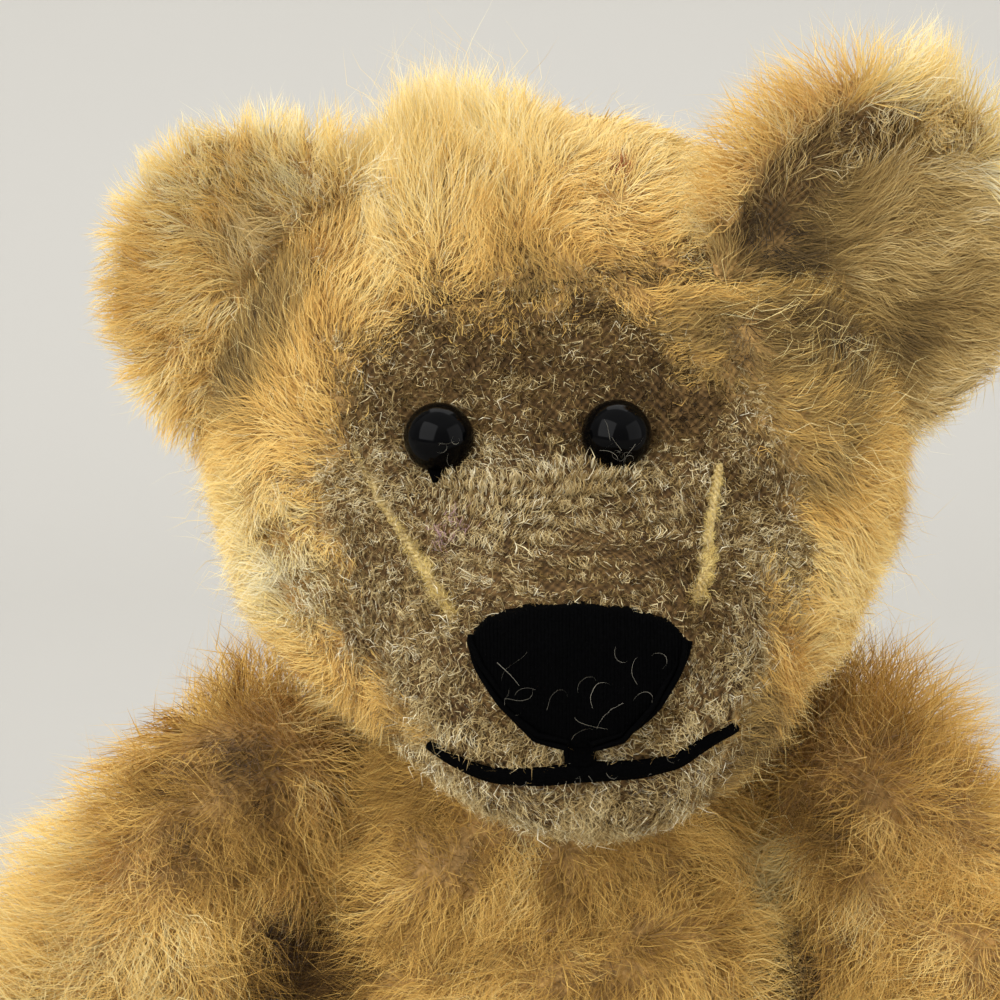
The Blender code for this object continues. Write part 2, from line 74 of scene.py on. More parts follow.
EYES = {side: middle(f"eye_{side}") for side in SIDES}
EYE_RADIUS = (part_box("eye_left")[1].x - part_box("eye_left")[0].x) / 2
BROW = (EYES["left"] + EYES["right"]) / 2
NOSE_LOW, NOSE_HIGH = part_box("nose_stitching")
NOSE = (NOSE_LOW + NOSE_HIGH) / 2
EARS = {side: middle(f"ear_{side}") for side in SIDES}

BODIES = {"head_cloth": "head", "torso_cloth": "torso"}
for side in SIDES:
    BODIES[f"ear_{side}_cloth"] = "head"
    for limb in ("arm", "leg"):
        BODIES[f"{limb}_{side}_cloth"] = f"{limb}_{side}"

# The clipped part of the face as seen from ahead: heights over the floor, left edges and right edges
CLIPPED = np.array(
    (
        (112, -13, 14),
        (118, -15, 15),
        (124.5, -17.5, 15.5),
        (127.5, -21.5, 17),
        (131, -27.5, 22),
        (137, -30.6, 26.5),
        (144, -31.8, 30.5),
        (152, -32, 28.5),
        (160, -29.5, 23.5),
        (165, -27.5, 21),
        (169, -26, 17.5),
        (173, -23, 12.5),
        (177, -16, 3),
    )
) * MM

# Shades along a strand map's u. The start of the long pile's list is kept for the rusty tuft, and the end of
# the cropped pile's for the mauve stain. Locks don't change a shade that is below or above the odd limits.
RUSTY_SHADE, MAUVE_SHADE = 0.02, 0.975
ODD_BELOW, ODD_ABOVE = 0.035, 0.945
PLAIN_SHADES = (0.05, 0.93)
LONG_SHADES = (
    (0.00, (158, 88, 38)),
    (0.03, (158, 88, 38)),
    (0.04, (70, 50, 20)),
    (0.16, (124, 97, 50)),
    (0.30, (174, 144, 82)),
    (0.44, (218, 173, 90)),
    (0.58, (244, 203, 115)),
    (0.74, (254, 226, 148)),
    (0.90, (255, 240, 184)),
    (1.00, (255, 246, 210)),
)
INNER_SHADES = (
    (0.00, (46, 32, 12)),
    (0.20, (98, 76, 38)),
    (0.42, (154, 124, 66)),
    (0.62, (206, 174, 106)),
    (0.82, (240, 214, 150)),
    (1.00, (252, 238, 194)),
)
BODY_SHADES = (
    (0.00, (44, 24, 5)),
    (0.18, (120, 88, 36)),
    (0.36, (188, 146, 72)),
    (0.54, (236, 193, 104)),
    (0.74, (255, 222, 138)),
    (1.00, (255, 238, 174)),
)
CROPPED_SHADES = (
    (0.00, (30, 17, 3)),
    (0.18, (78, 56, 22)),
    (0.38, (142, 114, 64)),
    (0.58, (208, 182, 126)),
    (0.78, (245, 227, 176)),
    (0.93, (255, 244, 208)),
    (0.95, (196, 160, 158)),
    (1.00, (196, 160, 158)),
)
SEAM_SHADES = ((0.0, (122, 98, 50)), (0.5, (214, 184, 104)), (1.0, (248, 228, 158)))
STRAY_SHADES = ((0.0, (74, 70, 62)), (1.0, (176, 170, 152)))

# Spots of odd colour: a rusty tuft on the crown, and a mauve stain beside the nose
RUSTY_TUFT = np.array((8.1, -13.5, 190)) * MM
MAUVE_STAIN = np.array((-14.4, -46.5, 149)) * MM

# The tuft on the chin, the x of the seam down the chest, and where each arm meets the torso, whose pile is
# painted dark as the shade in the gap between them
CHIN_TUFT = np.array((1.7, -64.3, 119.6)) * MM
CHEST_SEAM = 0.6 * MM
ARMPITS = np.array(((-38, -16, 72), (39, -13, 75))) * MM

# How each kind of cloth is sewn: its surface's grain, the rounds of smoothing and how far it stands proud
SEWING = {
    "head": (1.35 * MM, 8, 0.35 * MM),
    "ear": (1.35 * MM, 4, 0.1 * MM),
    "torso": (2.2 * MM, 8, 0.35 * MM),
    "arm": (2.1 * MM, 7, 0.3 * MM),
    "leg": (2.1 * MM, 7, 0.3 * MM),
    "pad": (1.1 * MM, 2, 0.15 * MM),
}

# Strands a square metre of the head's front and back pile, its wisps and the fuzz on a face seam
FRONT_DENSITY, BACK_DENSITY, WISP_DENSITY, FUZZ_DENSITY = 6.0e6, 1.2e6, 0.34e6, 20e6
HEAD_SPLIT = 4 * MM  # the y where the head's front pile gives way to its back pile
NECK_ROOM = 2 * MM  # the head's pile starts this far from the torso

# How many loose fibres lie over the nose, the mouth and each eye
NOSE_STRAYS, MOUTH_STRAYS, EYE_STRAYS = 20, 60, {"left": 13, "right": 6}

CAMERA_AIM = BROW + Vector((-3.6, 3.9, -9.7)) * MM
SENSOR_WIDTH = 36  # in millimetres, as the lens is
LIGHT_AIM = Vector((0, -0.02, 0.14))


def linear(colour):
    """A colour given as 0 to 255 on a screen, as light."""
    values = [c / 255 for c in colour]
    return [v / 12.92 if v <= 0.04045 else ((v + 0.055) / 1.055) ** 2.4 for v in values]


# ---------------------------------------------------------------- settings


class WornBearPile(bpy.types.PropertyGroup):
    length: bpy.props.FloatProperty(
        name="Pile length", description="Length of unworn pile", default=0.0115, unit="LENGTH"
    )
    cropped: bpy.props.FloatProperty(
        name="Cropped length", description="Length of the pile on the face", default=0.0020, unit="LENGTH"
    )
    width: bpy.props.FloatProperty(
        name="Strand width", description="Width of a strand at its root", default=0.00017, unit="LENGTH"
    )
    fullness: bpy.props.FloatProperty(
        name="Fullness", description="Share of the full number of strands", default=1.0, min=0.01, max=1.0
    )


class WornBearFace(bpy.types.PropertyGroup):
    nose_thread: bpy.props.FloatProperty(
        name="Nose thread", description="Radius of one nose thread", default=0.00036, unit="LENGTH"
    )
    mouth_thread: bpy.props.FloatProperty(
        name="Mouth thread", description="Radius of one mouth thread", default=0.00048, unit="LENGTH"
    )
    mouth_lift: bpy.props.FloatProperty(
        name="Mouth height",
        description="How far above its solid the mouth is stitched",
        default=0.0016,
        unit="LENGTH",
    )
    seam_thread: bpy.props.FloatProperty(
        name="Seam thread", description="Radius of one thread of a face seam", default=0.00028, unit="LENGTH"
    )
    thread_colour: bpy.props.FloatVectorProperty(
        name="Thread colour",
        description="Colour of nose and mouth",
        subtype="COLOR",
        default=(0.0006, 0.0006, 0.0007),
    )
    seam_colour: bpy.props.FloatVectorProperty(
        name="Seam colour",
        description="Colour of the face seams",
        subtype="COLOR",
        default=(0.56, 0.43, 0.19),
    )


class WornBearCloth(bpy.types.PropertyGroup):
    backing: bpy.props.FloatVectorProperty(
        name="Backing",
        description="Colour of the bare backing cloth",
        subtype="COLOR",
        default=(0.12, 0.072, 0.029),
    )
    undercoat: bpy.props.FloatVectorProperty(
        name="Undercoat",
        description="Colour under the long pile",
        subtype="COLOR",
        default=(0.48, 0.29, 0.10),
    )
    thread: bpy.props.FloatProperty(
        name="Thread pitch",
        description="Distance between the backing's threads",
        default=0.00065,
        unit="LENGTH",
    )
    felt: bpy.props.FloatVectorProperty(
        name="Felt",
        description="Colour of the paw and sole pads",
        subtype="COLOR",
        default=(0.20, 0.125, 0.062),
    )


class WornBearStage(bpy.types.PropertyGroup):
    lens: bpy.props.FloatProperty(name="Lens", description="Focal length in millimetres", default=81.0)
    distance: bpy.props.FloatProperty(
        name="Distance", description="Camera to face", default=0.30, unit="LENGTH"
    )
    lowering: bpy.props.FloatProperty(
        name="Look down",
        description="How far the camera looks down",
        default=math.radians(15),
        subtype="ANGLE",
    )
    backdrop: bpy.props.FloatVectorProperty(
        name="Backdrop", description="Colour of floor and wall", subtype="COLOR", default=(0.50, 0.485, 0.45)
    )


# ---------------------------------------------------------------- objects and meshes


def new_object(name, data):
    made = bpy.data.objects.new(name, data)
    bpy.context.scene.collection.objects.link(made)
    return made


def make_object(name, mesh, body, material, replaced=()):
    """A finished piece: it rides on its body, names its finish and stands for the solids that it covers."""
    piece = new_object(name, mesh)
    mesh.materials.clear()
    mesh.materials.append(material)
    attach(piece, body)
    if replaced:
        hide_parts(*replaced)
    return piece


def mesh_from(name, bm):
    mesh = bpy.data.meshes.new(name)
    bm.to_mesh(mesh)
    bm.free()
    mesh.shade_smooth()
    return mesh


def mesh_of(helper):
    """The mesh that a helper object comes to with its modifiers or its bevel. The helper is removed."""
    bpy.context.view_layer.update()
    made = bpy.data.meshes.new_from_object(helper.evaluated_get(bpy.context.evaluated_depsgraph_get()))
    bpy.data.objects.remove(helper)
    return made


def evaluated_mesh(name, mesh, *modifiers):
    """The mesh that a list of (type, settings) modifiers makes of another."""
    helper = new_object(name, mesh)
    for kind, settings in modifiers:
        modifier = helper.modifiers.new(kind.lower(), kind)
        for key, value in settings.items():
            setattr(modifier, key, value)
    made = mesh_of(helper)
    made.name = name
    return made


def node_bmesh(node):
    bm = bmesh.new()
    bm.from_mesh(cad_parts[node].data)
    bmesh.ops.remove_doubles(bm, verts=bm.verts, dist=WELD)
    return bm


def tree_of(bm):
    """A search tree of a bmesh, which is freed."""
    tree = BVHTree.FromBMesh(bm)
    bm.free()
    return tree


def drop_inner_wall(bm):
    """Leaves only the faces that look out into the open, and closes the holes that are left."""
    bm.normal_update()
    tree = BVHTree.FromBMesh(bm)
    reach = 0.2
    lift = 0.02 * MM
    inner = []
    for face in bm.faces:
        start = face.calc_center_median() + face.normal * lift
        if tree.ray_cast(start, face.normal, reach)[0] is not None:
            inner.append(face)
    bmesh.ops.delete(bm, geom=inner, context="FACES")
    keep_largest(bm)
    edges = [edge for edge in bm.edges if edge.is_boundary]
    bmesh.ops.holes_fill(bm, edges=edges, sides=0)
    bmesh.ops.recalc_face_normals(bm, faces=bm.faces)


def keep_largest(bm):
    seen, parts = set(), []
    for face in bm.faces:
        if face in seen:
            continue
        part, queue = {face}, [face]
        while queue:
            for edge in queue.pop().edges:
                fresh = [f for f in edge.link_faces if f not in part]
                part.update(fresh)
                queue += fresh
        seen |= part
        parts.append(part)
    largest = max(parts, key=len)
    bmesh.ops.delete(bm, geom=[f for f in bm.faces if f not in largest], context="FACES")


def soft_surface(name, node, voxel, rounds, swell_out, hollow=True):
    """A fine, rounded surface over a node's outside, as a new mesh."""
    bm = node_bmesh(node)
    if hollow:
        drop_inner_wall(bm)
    coarse = mesh_from(name, bm)
    fine = evaluated_mesh(name, coarse, ("REMESH", {"mode": "VOXEL", "voxel_size": voxel}))
    bm = bmesh.new()
    bm.from_mesh(fine)
    for _ in range(rounds):
        bmesh.ops.smooth_vert(
            bm, verts=bm.verts, factor=0.5, use_axis_x=True, use_axis_y=True, use_axis_z=True
        )
    bm.normal_update()
    for vert in bm.verts:
        vert.co += vert.normal * swell_out
        vert.co.z = max(vert.co.z, 0.0)
    return mesh_from(name, bm)


def points_of(mesh):
    """Vertex places and normals of a mesh, as arrays."""
    places = np.empty(len(mesh.vertices) * 3, np.float32)
    normals = np.empty(len(mesh.vertices) * 3, np.float32)
    mesh.vertices.foreach_get("co", places)
    mesh.vertices.foreach_get("normal", normals)
    return places.reshape(-1, 3).astype(float), normals.reshape(-1, 3).astype(float)


def move_points(mesh, places):
    mesh.vertices.foreach_set("co", places.astype(np.float32).ravel())
    mesh.update()


def box_map(mesh, name):
    """A map in metres, laid on each face from the side that it faces."""
    mesh.calc_loop_triangles()
    layer = mesh.uv_layers.new(name=name)
    corners = np.empty(len(mesh.loops), np.int32)
    mesh.loops.foreach_get("vertex_index", corners)
    facing = np.empty(len(mesh.polygons) * 3, np.float32)
    mesh.polygons.foreach_get("normal", facing)
    totals = np.empty(len(mesh.polygons), np.int32)
    mesh.polygons.foreach_get("loop_total", totals)
    side = np.repeat(np.abs(facing.reshape(-1, 3)).argmax(1), totals)
    places = points_of(mesh)[0][corners]
    across = np.choose(side, [places[:, 1], places[:, 0], places[:, 0]])
    up = np.choose(side, [places[:, 2], places[:, 2], places[:, 1]])
    layer.data.foreach_set("uv", np.stack([across, up], 1).astype(np.float32).ravel())


def smooth_noise(places, size, seed, parts=1):
    """Smooth random values, about -1 to 1, whose bumps are about size wide."""
    rng = np.random.default_rng(seed)
    waves = 16
    ways = unit(rng.normal(size=(waves, 3))) * rng.uniform(0.6, 1.6, (waves, 1)) * math.pi / size
    gains = rng.normal(size=(waves, parts)) * 1.3 / math.sqrt(waves)
    phases = rng.uniform(0, 2 * math.pi, (waves, parts))
    turns = places @ ways.T
    return sum(gains[w] * np.cos(turns[:, w, None] + phases[w]) for w in range(waves))


def unit(vectors):
    return vectors / np.maximum(np.linalg.norm(vectors, axis=-1, keepdims=True), 1e-9)


def ramp(value, low, high):
    """0 below low, 1 above high, and a smooth step between them."""
    t = np.clip((value - low) / (high - low), 0, 1)
    return t * t * (3 - 2 * t)


# ---------------------------------------------------------------- materials


def new_material(name, values):
    """A material, its node tree, and its shader with the given values on its sockets."""
    material = bpy.data.materials.new(name)
    material.use_nodes = True
    tree = material.node_tree
    shader = tree.nodes["Principled BSDF"]
    for socket, value in values.items():
        shader.inputs[socket].default_value = value
    return material, tree, shader


def link(tree, source, target):
    tree.links.new(source, target)


def add_node(tree, kind, **values):
    made = tree.nodes.new(kind)
    for key, value in values.items():
        if hasattr(made, key):
            setattr(made, key, value)
        else:
            made.inputs[key].default_value = value
    return made


def colour_ramp(tree, stops, interpolation="LINEAR"):
    made = tree.nodes.new("ShaderNodeValToRGB")
    made.color_ramp.interpolation = interpolation
    elements = made.color_ramp.elements
    while len(elements) > 1:
        elements.remove(elements[-1])
    elements[0].position, elements[0].color = stops[0][0], (*stops[0][1], 1)
    for position, colour in stops[1:]:
        elements.new(position).color = (*colour, 1)
    return made


def through_ramp(tree, source, stops, target):
    """Turns a value into a colour or a grey on its way to a socket."""
    made = colour_ramp(tree, stops)
    link(tree, source, made.inputs["Fac"])
    link(tree, made.outputs["Color"], target)


def object_noise(tree, scale, detail):
    """Noise that is laid out on Object coordinates."""
    place = add_node(tree, "ShaderNodeTexCoord")
    noise = add_node(tree, "ShaderNodeTexNoise", Scale=scale, Detail=detail)
    link(tree, place.outputs["Object"], noise.inputs["Vector"])
    return noise.outputs["Fac"]


def grey(level):
    return [level] * 3


def strand_material(name, shades, root_shade, roughness, gloss=0.25, sheen=0.15):
    """Pile: its shade comes from the map's u, darkened towards the root by the map's v."""
    values = {"Roughness": roughness, "Specular IOR Level": gloss, "Sheen Weight": sheen}
    material, tree, shader = new_material(name, values)
    where = add_node(tree, "ShaderNodeUVMap", uv_map=BAKE_MAP)
    split = add_node(tree, "ShaderNodeSeparateXYZ")
    mix = add_node(tree, "ShaderNodeMix", data_type="RGBA", blend_type="MULTIPLY", Factor=1.0)
    link(tree, where.outputs["UV"], split.inputs[0])
    through_ramp(tree, split.outputs["X"], [(u, linear(colour)) for u, colour in shades], mix.inputs["A"])
    depths = [(0.0, grey(root_shade)), (0.45, grey(0.92)), (1.0, grey(1.0))]
    through_ramp(tree, split.outputs["Y"], depths, mix.inputs["B"])
    link(tree, mix.outputs["Result"], shader.inputs["Base Color"])
    return material


def weave_group():
    """Plain weave: a height that rises over each crossing, and a mask of the gaps between threads."""
    found = bpy.data.node_groups.get("plain_weave")
    if found:
        return found
    group = bpy.data.node_groups.new("plain_weave", "ShaderNodeTree")
    group.interface.new_socket("Vector", in_out="INPUT", socket_type="NodeSocketVector")
    group.interface.new_socket("Pitch", in_out="INPUT", socket_type="NodeSocketFloat")
    group.interface.new_socket("Height", in_out="OUTPUT", socket_type="NodeSocketFloat")
    group.interface.new_socket("Gaps", in_out="OUTPUT", socket_type="NodeSocketFloat")
    start = group.nodes.new("NodeGroupInput")
    end = group.nodes.new("NodeGroupOutput")

    def math_node(operation, a, b=None):
        made = group.nodes.new("ShaderNodeMath")
        made.operation = operation
        for socket, value in zip(made.inputs, (a, b)):
            if isinstance(value, (int, float)):
                socket.default_value = value
            elif value is not None:
                link(group, value, socket)
        return made.outputs[0]

    wobble = add_node(group, "ShaderNodeTexNoise", Scale=900.0, Detail=2.0)
    link(group, start.outputs["Vector"], wobble.inputs["Vector"])
    split = group.nodes.new("ShaderNodeSeparateXYZ")
    link(group, start.outputs["Vector"], split.inputs[0])
    turns = math_node("DIVIDE", math.pi, start.outputs["Pitch"])
    unevenness, gap_width = 2.6, 0.28
    sway = math_node("MULTIPLY", math_node("SUBTRACT", wobble.outputs["Fac"], 0.5), unevenness)
    waves = []
    for axis in ("X", "Y"):
        phase = math_node("ADD", math_node("MULTIPLY", split.outputs[axis], turns), sway)
        waves.append(math_node("SINE", phase))
    crossing = math_node("MULTIPLY", waves[0], waves[1])
    height = math_node("ADD", math_node("MULTIPLY", crossing, 0.5), 0.5)
    edges = math_node("MINIMUM", math_node("ABSOLUTE", waves[0]), math_node("ABSOLUTE", waves[1]))
    link(group, height, end.inputs["Height"])
    link(group, math_node("LESS_THAN", edges, gap_width), end.inputs["Gaps"])
    return group


def backing_material(settings):
    """Woven brown backing where the pile is cropped, and matted gold undercoat where it isn't."""
    values = {"Roughness": 0.92, "Specular IOR Level": 0.15}
    material, tree, shader = new_material("backing_cloth", values)
    where = add_node(tree, "ShaderNodeUVMap", uv_map="weave_map")
    weave = add_node(tree, "ShaderNodeGroup", node_tree=weave_group(), Pitch=settings.thread)
    link(tree, where.outputs["UV"], weave.inputs["Vector"])
    base, under = np.array(settings.backing), np.array(settings.undercoat)
    woven = add_node(tree, "ShaderNodeMix", data_type="RGBA", blend_type="MULTIPLY", Factor=1.0)
    tones = [(0.0, base * 0.45), (0.5, base), (1.0, base * 1.6)]
    through_ramp(tree, weave.outputs["Height"], tones, woven.inputs["A"])
    stains = [(0.3, (0.62, 0.58, 0.56)), (0.7, (1.25, 1.2, 1.1))]
    through_ramp(tree, object_noise(tree, 130.0, 4.0), stains, woven.inputs["B"])
    bare = add_node(tree, "ShaderNodeAttribute", attribute_name="bare")
    mix = add_node(tree, "ShaderNodeMix", data_type="RGBA")
    link(tree, bare.outputs["Fac"], mix.inputs["Factor"])
    coats = [(0.3, under * 0.55), (0.7, under * 1.4)]
    through_ramp(tree, object_noise(tree, 900.0, 5.0), coats, mix.inputs["A"])
    link(tree, woven.outputs["Result"], mix.inputs["B"])
    link(tree, mix.outputs["Result"], shader.inputs["Base Color"])
    bump = add_node(tree, "ShaderNodeBump", Strength=0.9, Distance=0.0004)
    link(tree, weave.outputs["Height"], bump.inputs["Height"])
    link(tree, bump.outputs["Normal"], shader.inputs["Normal"])
    return material


def fibre_material(name, colour, roughness, scale, spread=0.35, sheen=0.0, gloss=0.3, bump_height=0.0002):
    """Matted or spun fibre: a colour that varies on Object coordinates, with a fine bump."""
    values = {"Roughness": roughness, "Specular IOR Level": gloss, "Sheen Weight": sheen}
    material, tree, shader = new_material(name, values)
    noise = object_noise(tree, scale, 5.0)
    base = np.array(colour)
    tones = [(0.3, base * (1 - spread)), (0.7, base * (1 + spread))]
    through_ramp(tree, noise, tones, shader.inputs["Base Color"])
    bump = add_node(tree, "ShaderNodeBump", Strength=0.6, Distance=bump_height)
    link(tree, noise, bump.inputs["Height"])
    link(tree, bump.outputs["Normal"], shader.inputs["Normal"])
    return material


def button_material():
    """Boot button: black, polished, with faint scuffs in its gloss."""
    values = {"Base Color": (0.001, 0.001, 0.0012, 1), "Specular IOR Level": 0.07}
    material, tree, shader = new_material("boot_button", values)
    scuffs = [(0.35, grey(0.06)), (0.75, grey(0.16))]
    through_ramp(tree, object_noise(tree, 700.0, 6.0), scuffs, shader.inputs["Roughness"])
    return material


# ---------------------------------------------------------------- pile


def scatter(mesh, density, rng):
    """Random places on a mesh with their normals; density(places, normals) is in strands a square metre."""
    mesh.calc_loop_triangles()
    corners = np.empty(len(mesh.loop_triangles) * 3, np.int32)
    mesh.loop_triangles.foreach_get("vertices", corners)
    places, normals = points_of(mesh)
    a, b, c = (places[corners.reshape(-1, 3)[:, i]] for i in range(3))
    na, nb, nc = (normals[corners.reshape(-1, 3)[:, i]] for i in range(3))
    area = np.linalg.norm(np.cross(b - a, c - a), axis=1) / 2
    wanted = area * density((a + b + c) / 3, unit(na + nb + nc))
    counts = np.floor(wanted + rng.random(len(wanted))).astype(int)
    chosen = np.repeat(np.arange(len(area)), counts)
    s, t = rng.random((2, len(chosen), 1))
    flip = s + t > 1
    s, t = np.where(flip, 1 - s, s), np.where(flip, 1 - t, t)
    where = a[chosen] + s * (b - a)[chosen] + t * (c - a)[chosen]
    facing = unit(na[chosen] * (1 - s - t) + nb[chosen] * s + nc[chosen] * t)
    return where, facing


def gather(paths, roots, size, amount, seed):
    """Draws the strands of each small cell together towards their tips, as locks.

    Gives each strand's lock, and how far its tip lay from the lock's middle, in cells.
    """
    warp = smooth_noise(roots, size * 2.2, seed, 3) * size * 0.7
    cells = np.floor((roots + warp) / size).astype(np.int64)
    key = cells @ np.array((73856093, 19349663, 83492791))
    _, lock = np.unique(key, return_inverse=True)
    count = np.bincount(lock)[:, None]
    rows = paths.shape[1]
    for row in range(1, rows):
        place = np.stack([np.bincount(lock, paths[:, row, axis]) for axis in range(3)], 1) / count
        apart = place[lock] - paths[:, row]
        paths[:, row] += apart * amount * (row / (rows - 1)) ** 1.3
    return lock, np.linalg.norm(apart, axis=1) / size


def strand_paths(roots, normals, style, rows, seed):
    """Bent paths from the roots, and their shades. A style value is one number, or one for each root."""
    rng = np.random.default_rng(seed)
    count = len(roots)
    values = {key: np.broadcast_to(style[key], count)[:, None] for key in ("length", "lean", "wild", "curl")}
    wander = smooth_noise(roots, 9 * MM, seed + 1, 3) + 0.6 * smooth_noise(roots, 3.5 * MM, seed + 2, 3)
    flow = unit(style["comb"]) + (wander + 0.35 * rng.normal(size=(count, 3))) * values["wild"]
    flow = unit(flow - normals * (flow * normals).sum(1, keepdims=True))
    lean = np.clip(values["lean"] + rng.normal(size=(count, 1)) * 0.13, 0.05, 1.15)
    start = unit(normals * (1.05 - 0.6 * lean) + flow * lean)
    end = unit(normals * (1.0 - lean) * 0.9 + flow * (0.3 + lean) + rng.normal(size=(count, 3)) * 0.22)
    t = np.linspace(0, 1, rows)[None, :, None]
    length = (values["length"] * rng.uniform(0.6, 1.12, (count, 1)))[..., None]
    paths = roots[:, None] + length * (start[:, None] * (t - t * t / 2) + end[:, None] * (t * t / 2))
    side = unit(np.cross(end, normals))
    phase = rng.uniform(0, 2 * math.pi, (count, 1, 1))
    swing = np.sin(2 * math.pi * t * 0.9 + phase) - np.sin(phase)
    paths += side[:, None] * length * values["curl"][..., None] * swing * t
    lock, apart = gather(paths, roots, style["lock_size"], style["lock"], seed + 3)
    paths[..., 2] = np.maximum(paths[..., 2], 0.2 * MM)
    tone = rng.normal(size=lock.max() + 1)[lock] * style["lock_tone"] - style["pits"] * ramp(apart, 0.25, 0.8)
    odd = (style["shade"] < ODD_BELOW) | (style["shade"] > ODD_ABOVE)
    shades = np.where(odd, style["shade"], np.clip(style["shade"] + tone, *PLAIN_SHADES))
    return paths, side, shades, rng


def strand_mesh(name, paths, side, widths, shades, rng):
    """Ribbons that taper to a point, each with its own narrow strip of the strand map."""
    count, rows, _ = paths.shape
    steps = np.linspace(0, 1, rows)
    along = unit(paths[:, -1] - paths[:, 0])
    twist = rng.normal(size=(count, 1)) * 0.6
    edge = unit(side * np.cos(twist) + np.cross(along, side) * np.sin(twist))
    widths = np.broadcast_to(widths, count)[:, None] * (1 - 0.55 * steps[:-1])
    half = edge[:, None] * widths[..., None] / 2
    pairs = np.stack([paths[:, :-1] - half, paths[:, :-1] + half], 2).reshape(count, -1, 3)
    verts = np.concatenate([pairs, paths[:, -1:]], 1)
    per = verts.shape[1]
    pattern, totals, u_side, v_row = [], [], [], []
    for row in range(rows - 2):
        pattern += [2 * row, 2 * row + 1, 2 * row + 3, 2 * row + 2]
        u_side += [-1, 1, 1, -1]
        v_row += [row, row, row + 1, row + 1]
        totals.append(4)
    pattern += [2 * rows - 4, 2 * rows - 3, 2 * rows - 2]
    u_side += [-1, 1, 0]
    v_row += [rows - 2, rows - 2, rows - 1]
    totals.append(3)
    corners = (np.arange(count)[:, None] * per + np.array(pattern)).ravel()
    totals = np.tile(totals, count)
    u = np.clip(shades, 0.01, 0.99)[:, None] + np.array(u_side) * 0.004
    v = np.broadcast_to(0.02 + 0.96 * steps[v_row], u.shape)
    mesh = bpy.data.meshes.new(name)
    mesh.vertices.add(count * per)
    mesh.vertices.foreach_set("co", verts.astype(np.float32).ravel())
    mesh.loops.add(len(corners))
    mesh.loops.foreach_set("vertex_index", corners.astype(np.int32))
    mesh.polygons.add(len(totals))
    starts = np.concatenate([[0], np.cumsum(totals)[:-1]])
    mesh.polygons.foreach_set("loop_start", starts.astype(np.int32))
    mesh.update(calc_edges=True)
    layer = mesh.uv_layers.new(name=BAKE_MAP)
    layer.data.foreach_set("uv", np.stack([u, v], 2).astype(np.float32).ravel())
    mesh.shade_smooth()
    return mesh


def raise_pile(name, cloth, density, style_of, rows, seed, settings, tufts=0.0):
    """One piece of pile over a cloth surface. Tufts is the pitch of the weave that the roots keep to."""
    rng = np.random.default_rng(seed)
    roots, normals = scatter(cloth, lambda p, n: density(p, n) * settings.fullness, rng)
    style = style_of(roots, normals, settings, rng)
    if tufts:
        for axis in (0, 2):
            held = np.round(roots[:, axis] / tufts) * tufts + rng.normal(size=len(roots)) * tufts * 0.22
            roots[:, axis] = held
    paths, side, shades, rng = strand_paths(roots, normals, style, rows, seed)
    return strand_mesh(name, paths, side, style["width"] * settings.fullness**-0.5, shades, rng)


def painted(places, patches):
    """Soft round patches on the front, summed. Each has x, z and radius in millimetres, and its strength."""
    total = np.zeros(len(places))
    for x, z, radius, strength in patches:
        apart = ((places[:, [0, 2]] - np.array((x, z)) * MM) ** 2).sum(1) / (radius * MM) ** 2
        total += strength * np.exp(-apart)
    return total * ramp(places[:, 1], 18 * MM, 6 * MM)


def near(places, spot, radius):
    return np.exp(-(((places - spot) ** 2).sum(1) / radius**2))


def clipped_distance(places):
    """How far inside the clipped part of the face each place is, as seen from ahead, below 0 outside it."""
    left, right = (np.interp(places[:, 2], CLIPPED[:, 0], CLIPPED[:, side]) for side in (1, 2))
    beside = np.minimum(places[:, 0] - left, right - places[:, 0])
    above = (CLIPPED[-1, 0] - places[:, 2]) * 0.9
    inside = np.minimum(beside, np.where(places[:, 2] > CLIPPED[-5, 0], above, beside))
    outside = -np.hypot(np.maximum(-above, 0), np.maximum(-beside, 0) * (above > 0))
    apart = np.where(inside > 0, inside, np.where(above < 0, outside, beside))
    ragged = smooth_noise(places, 7 * MM, 11)[:, 0] * 2.0 * MM + smooth_noise(places, 2.2 * MM, 12)[:, 0] * MM
    return apart + ragged - np.maximum(places[:, 1] + 20 * MM, 0) * 1.5


def clipped_share(places):
    return ramp(clipped_distance(places), -2.0 * MM, 2.5 * MM)


def eye_distance(places):
    """How far each place is from the middle of the nearer eye."""
    gaps = [np.linalg.norm(places - np.array(eye), axis=1) for eye in EYES.values()]
    return np.minimum(*gaps)


def nose_cover(places):
    """True where the nose lies over the cloth."""
    across = (places[:, 0] - NOSE.x) / ((NOSE_HIGH.x - NOSE_LOW.x) / 2)
    height = (places[:, 2] - NOSE.z) / ((NOSE_HIGH.z - NOSE_LOW.z) / 2)
    taper = np.interp(height, [-1, -0.4, 0.3, 0.8], [0.15, 0.6, 0.95, 0.5])
    in_front = places[:, 1] < NOSE_HIGH.y + 4 * MM
    return (np.abs(across) < taper) & (height > -0.8) & (height < 0.65) & in_front


def lowered_nose(places):
    """The nose's upper part, drawn a little down into the muzzle."""
    places = np.array(places, float)
    places[:, 2] -= 1.3 * MM * ramp(places[:, 2], NOSE.z, NOSE_HIGH.z)
    return places


def line_distance(places, line):
    nearest = np.full(len(places), 1.0)
    for low, high in zip(line, line[1:]):
        step = high - low
        t = np.clip(((places - low) @ step) / (step @ step), 0, 1)
        nearest = np.minimum(nearest, np.linalg.norm(places - low - t[:, None] * step, axis=1))
    return nearest


def clear_of(places, nodes, gap):
    """True where a place is further than the gap from every one of these nodes."""
    free = np.full(len(places), True)
    for node in nodes:
        tree = tree_of(node_bmesh(node))
        low, high = (np.array(corner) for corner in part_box(node))
        close = ((places > low - gap) & (places < high + gap)).all(1)
        for index in np.flatnonzero(close & free):
            free[index] = tree.find_nearest(places[index], gap)[0] is None
    return free


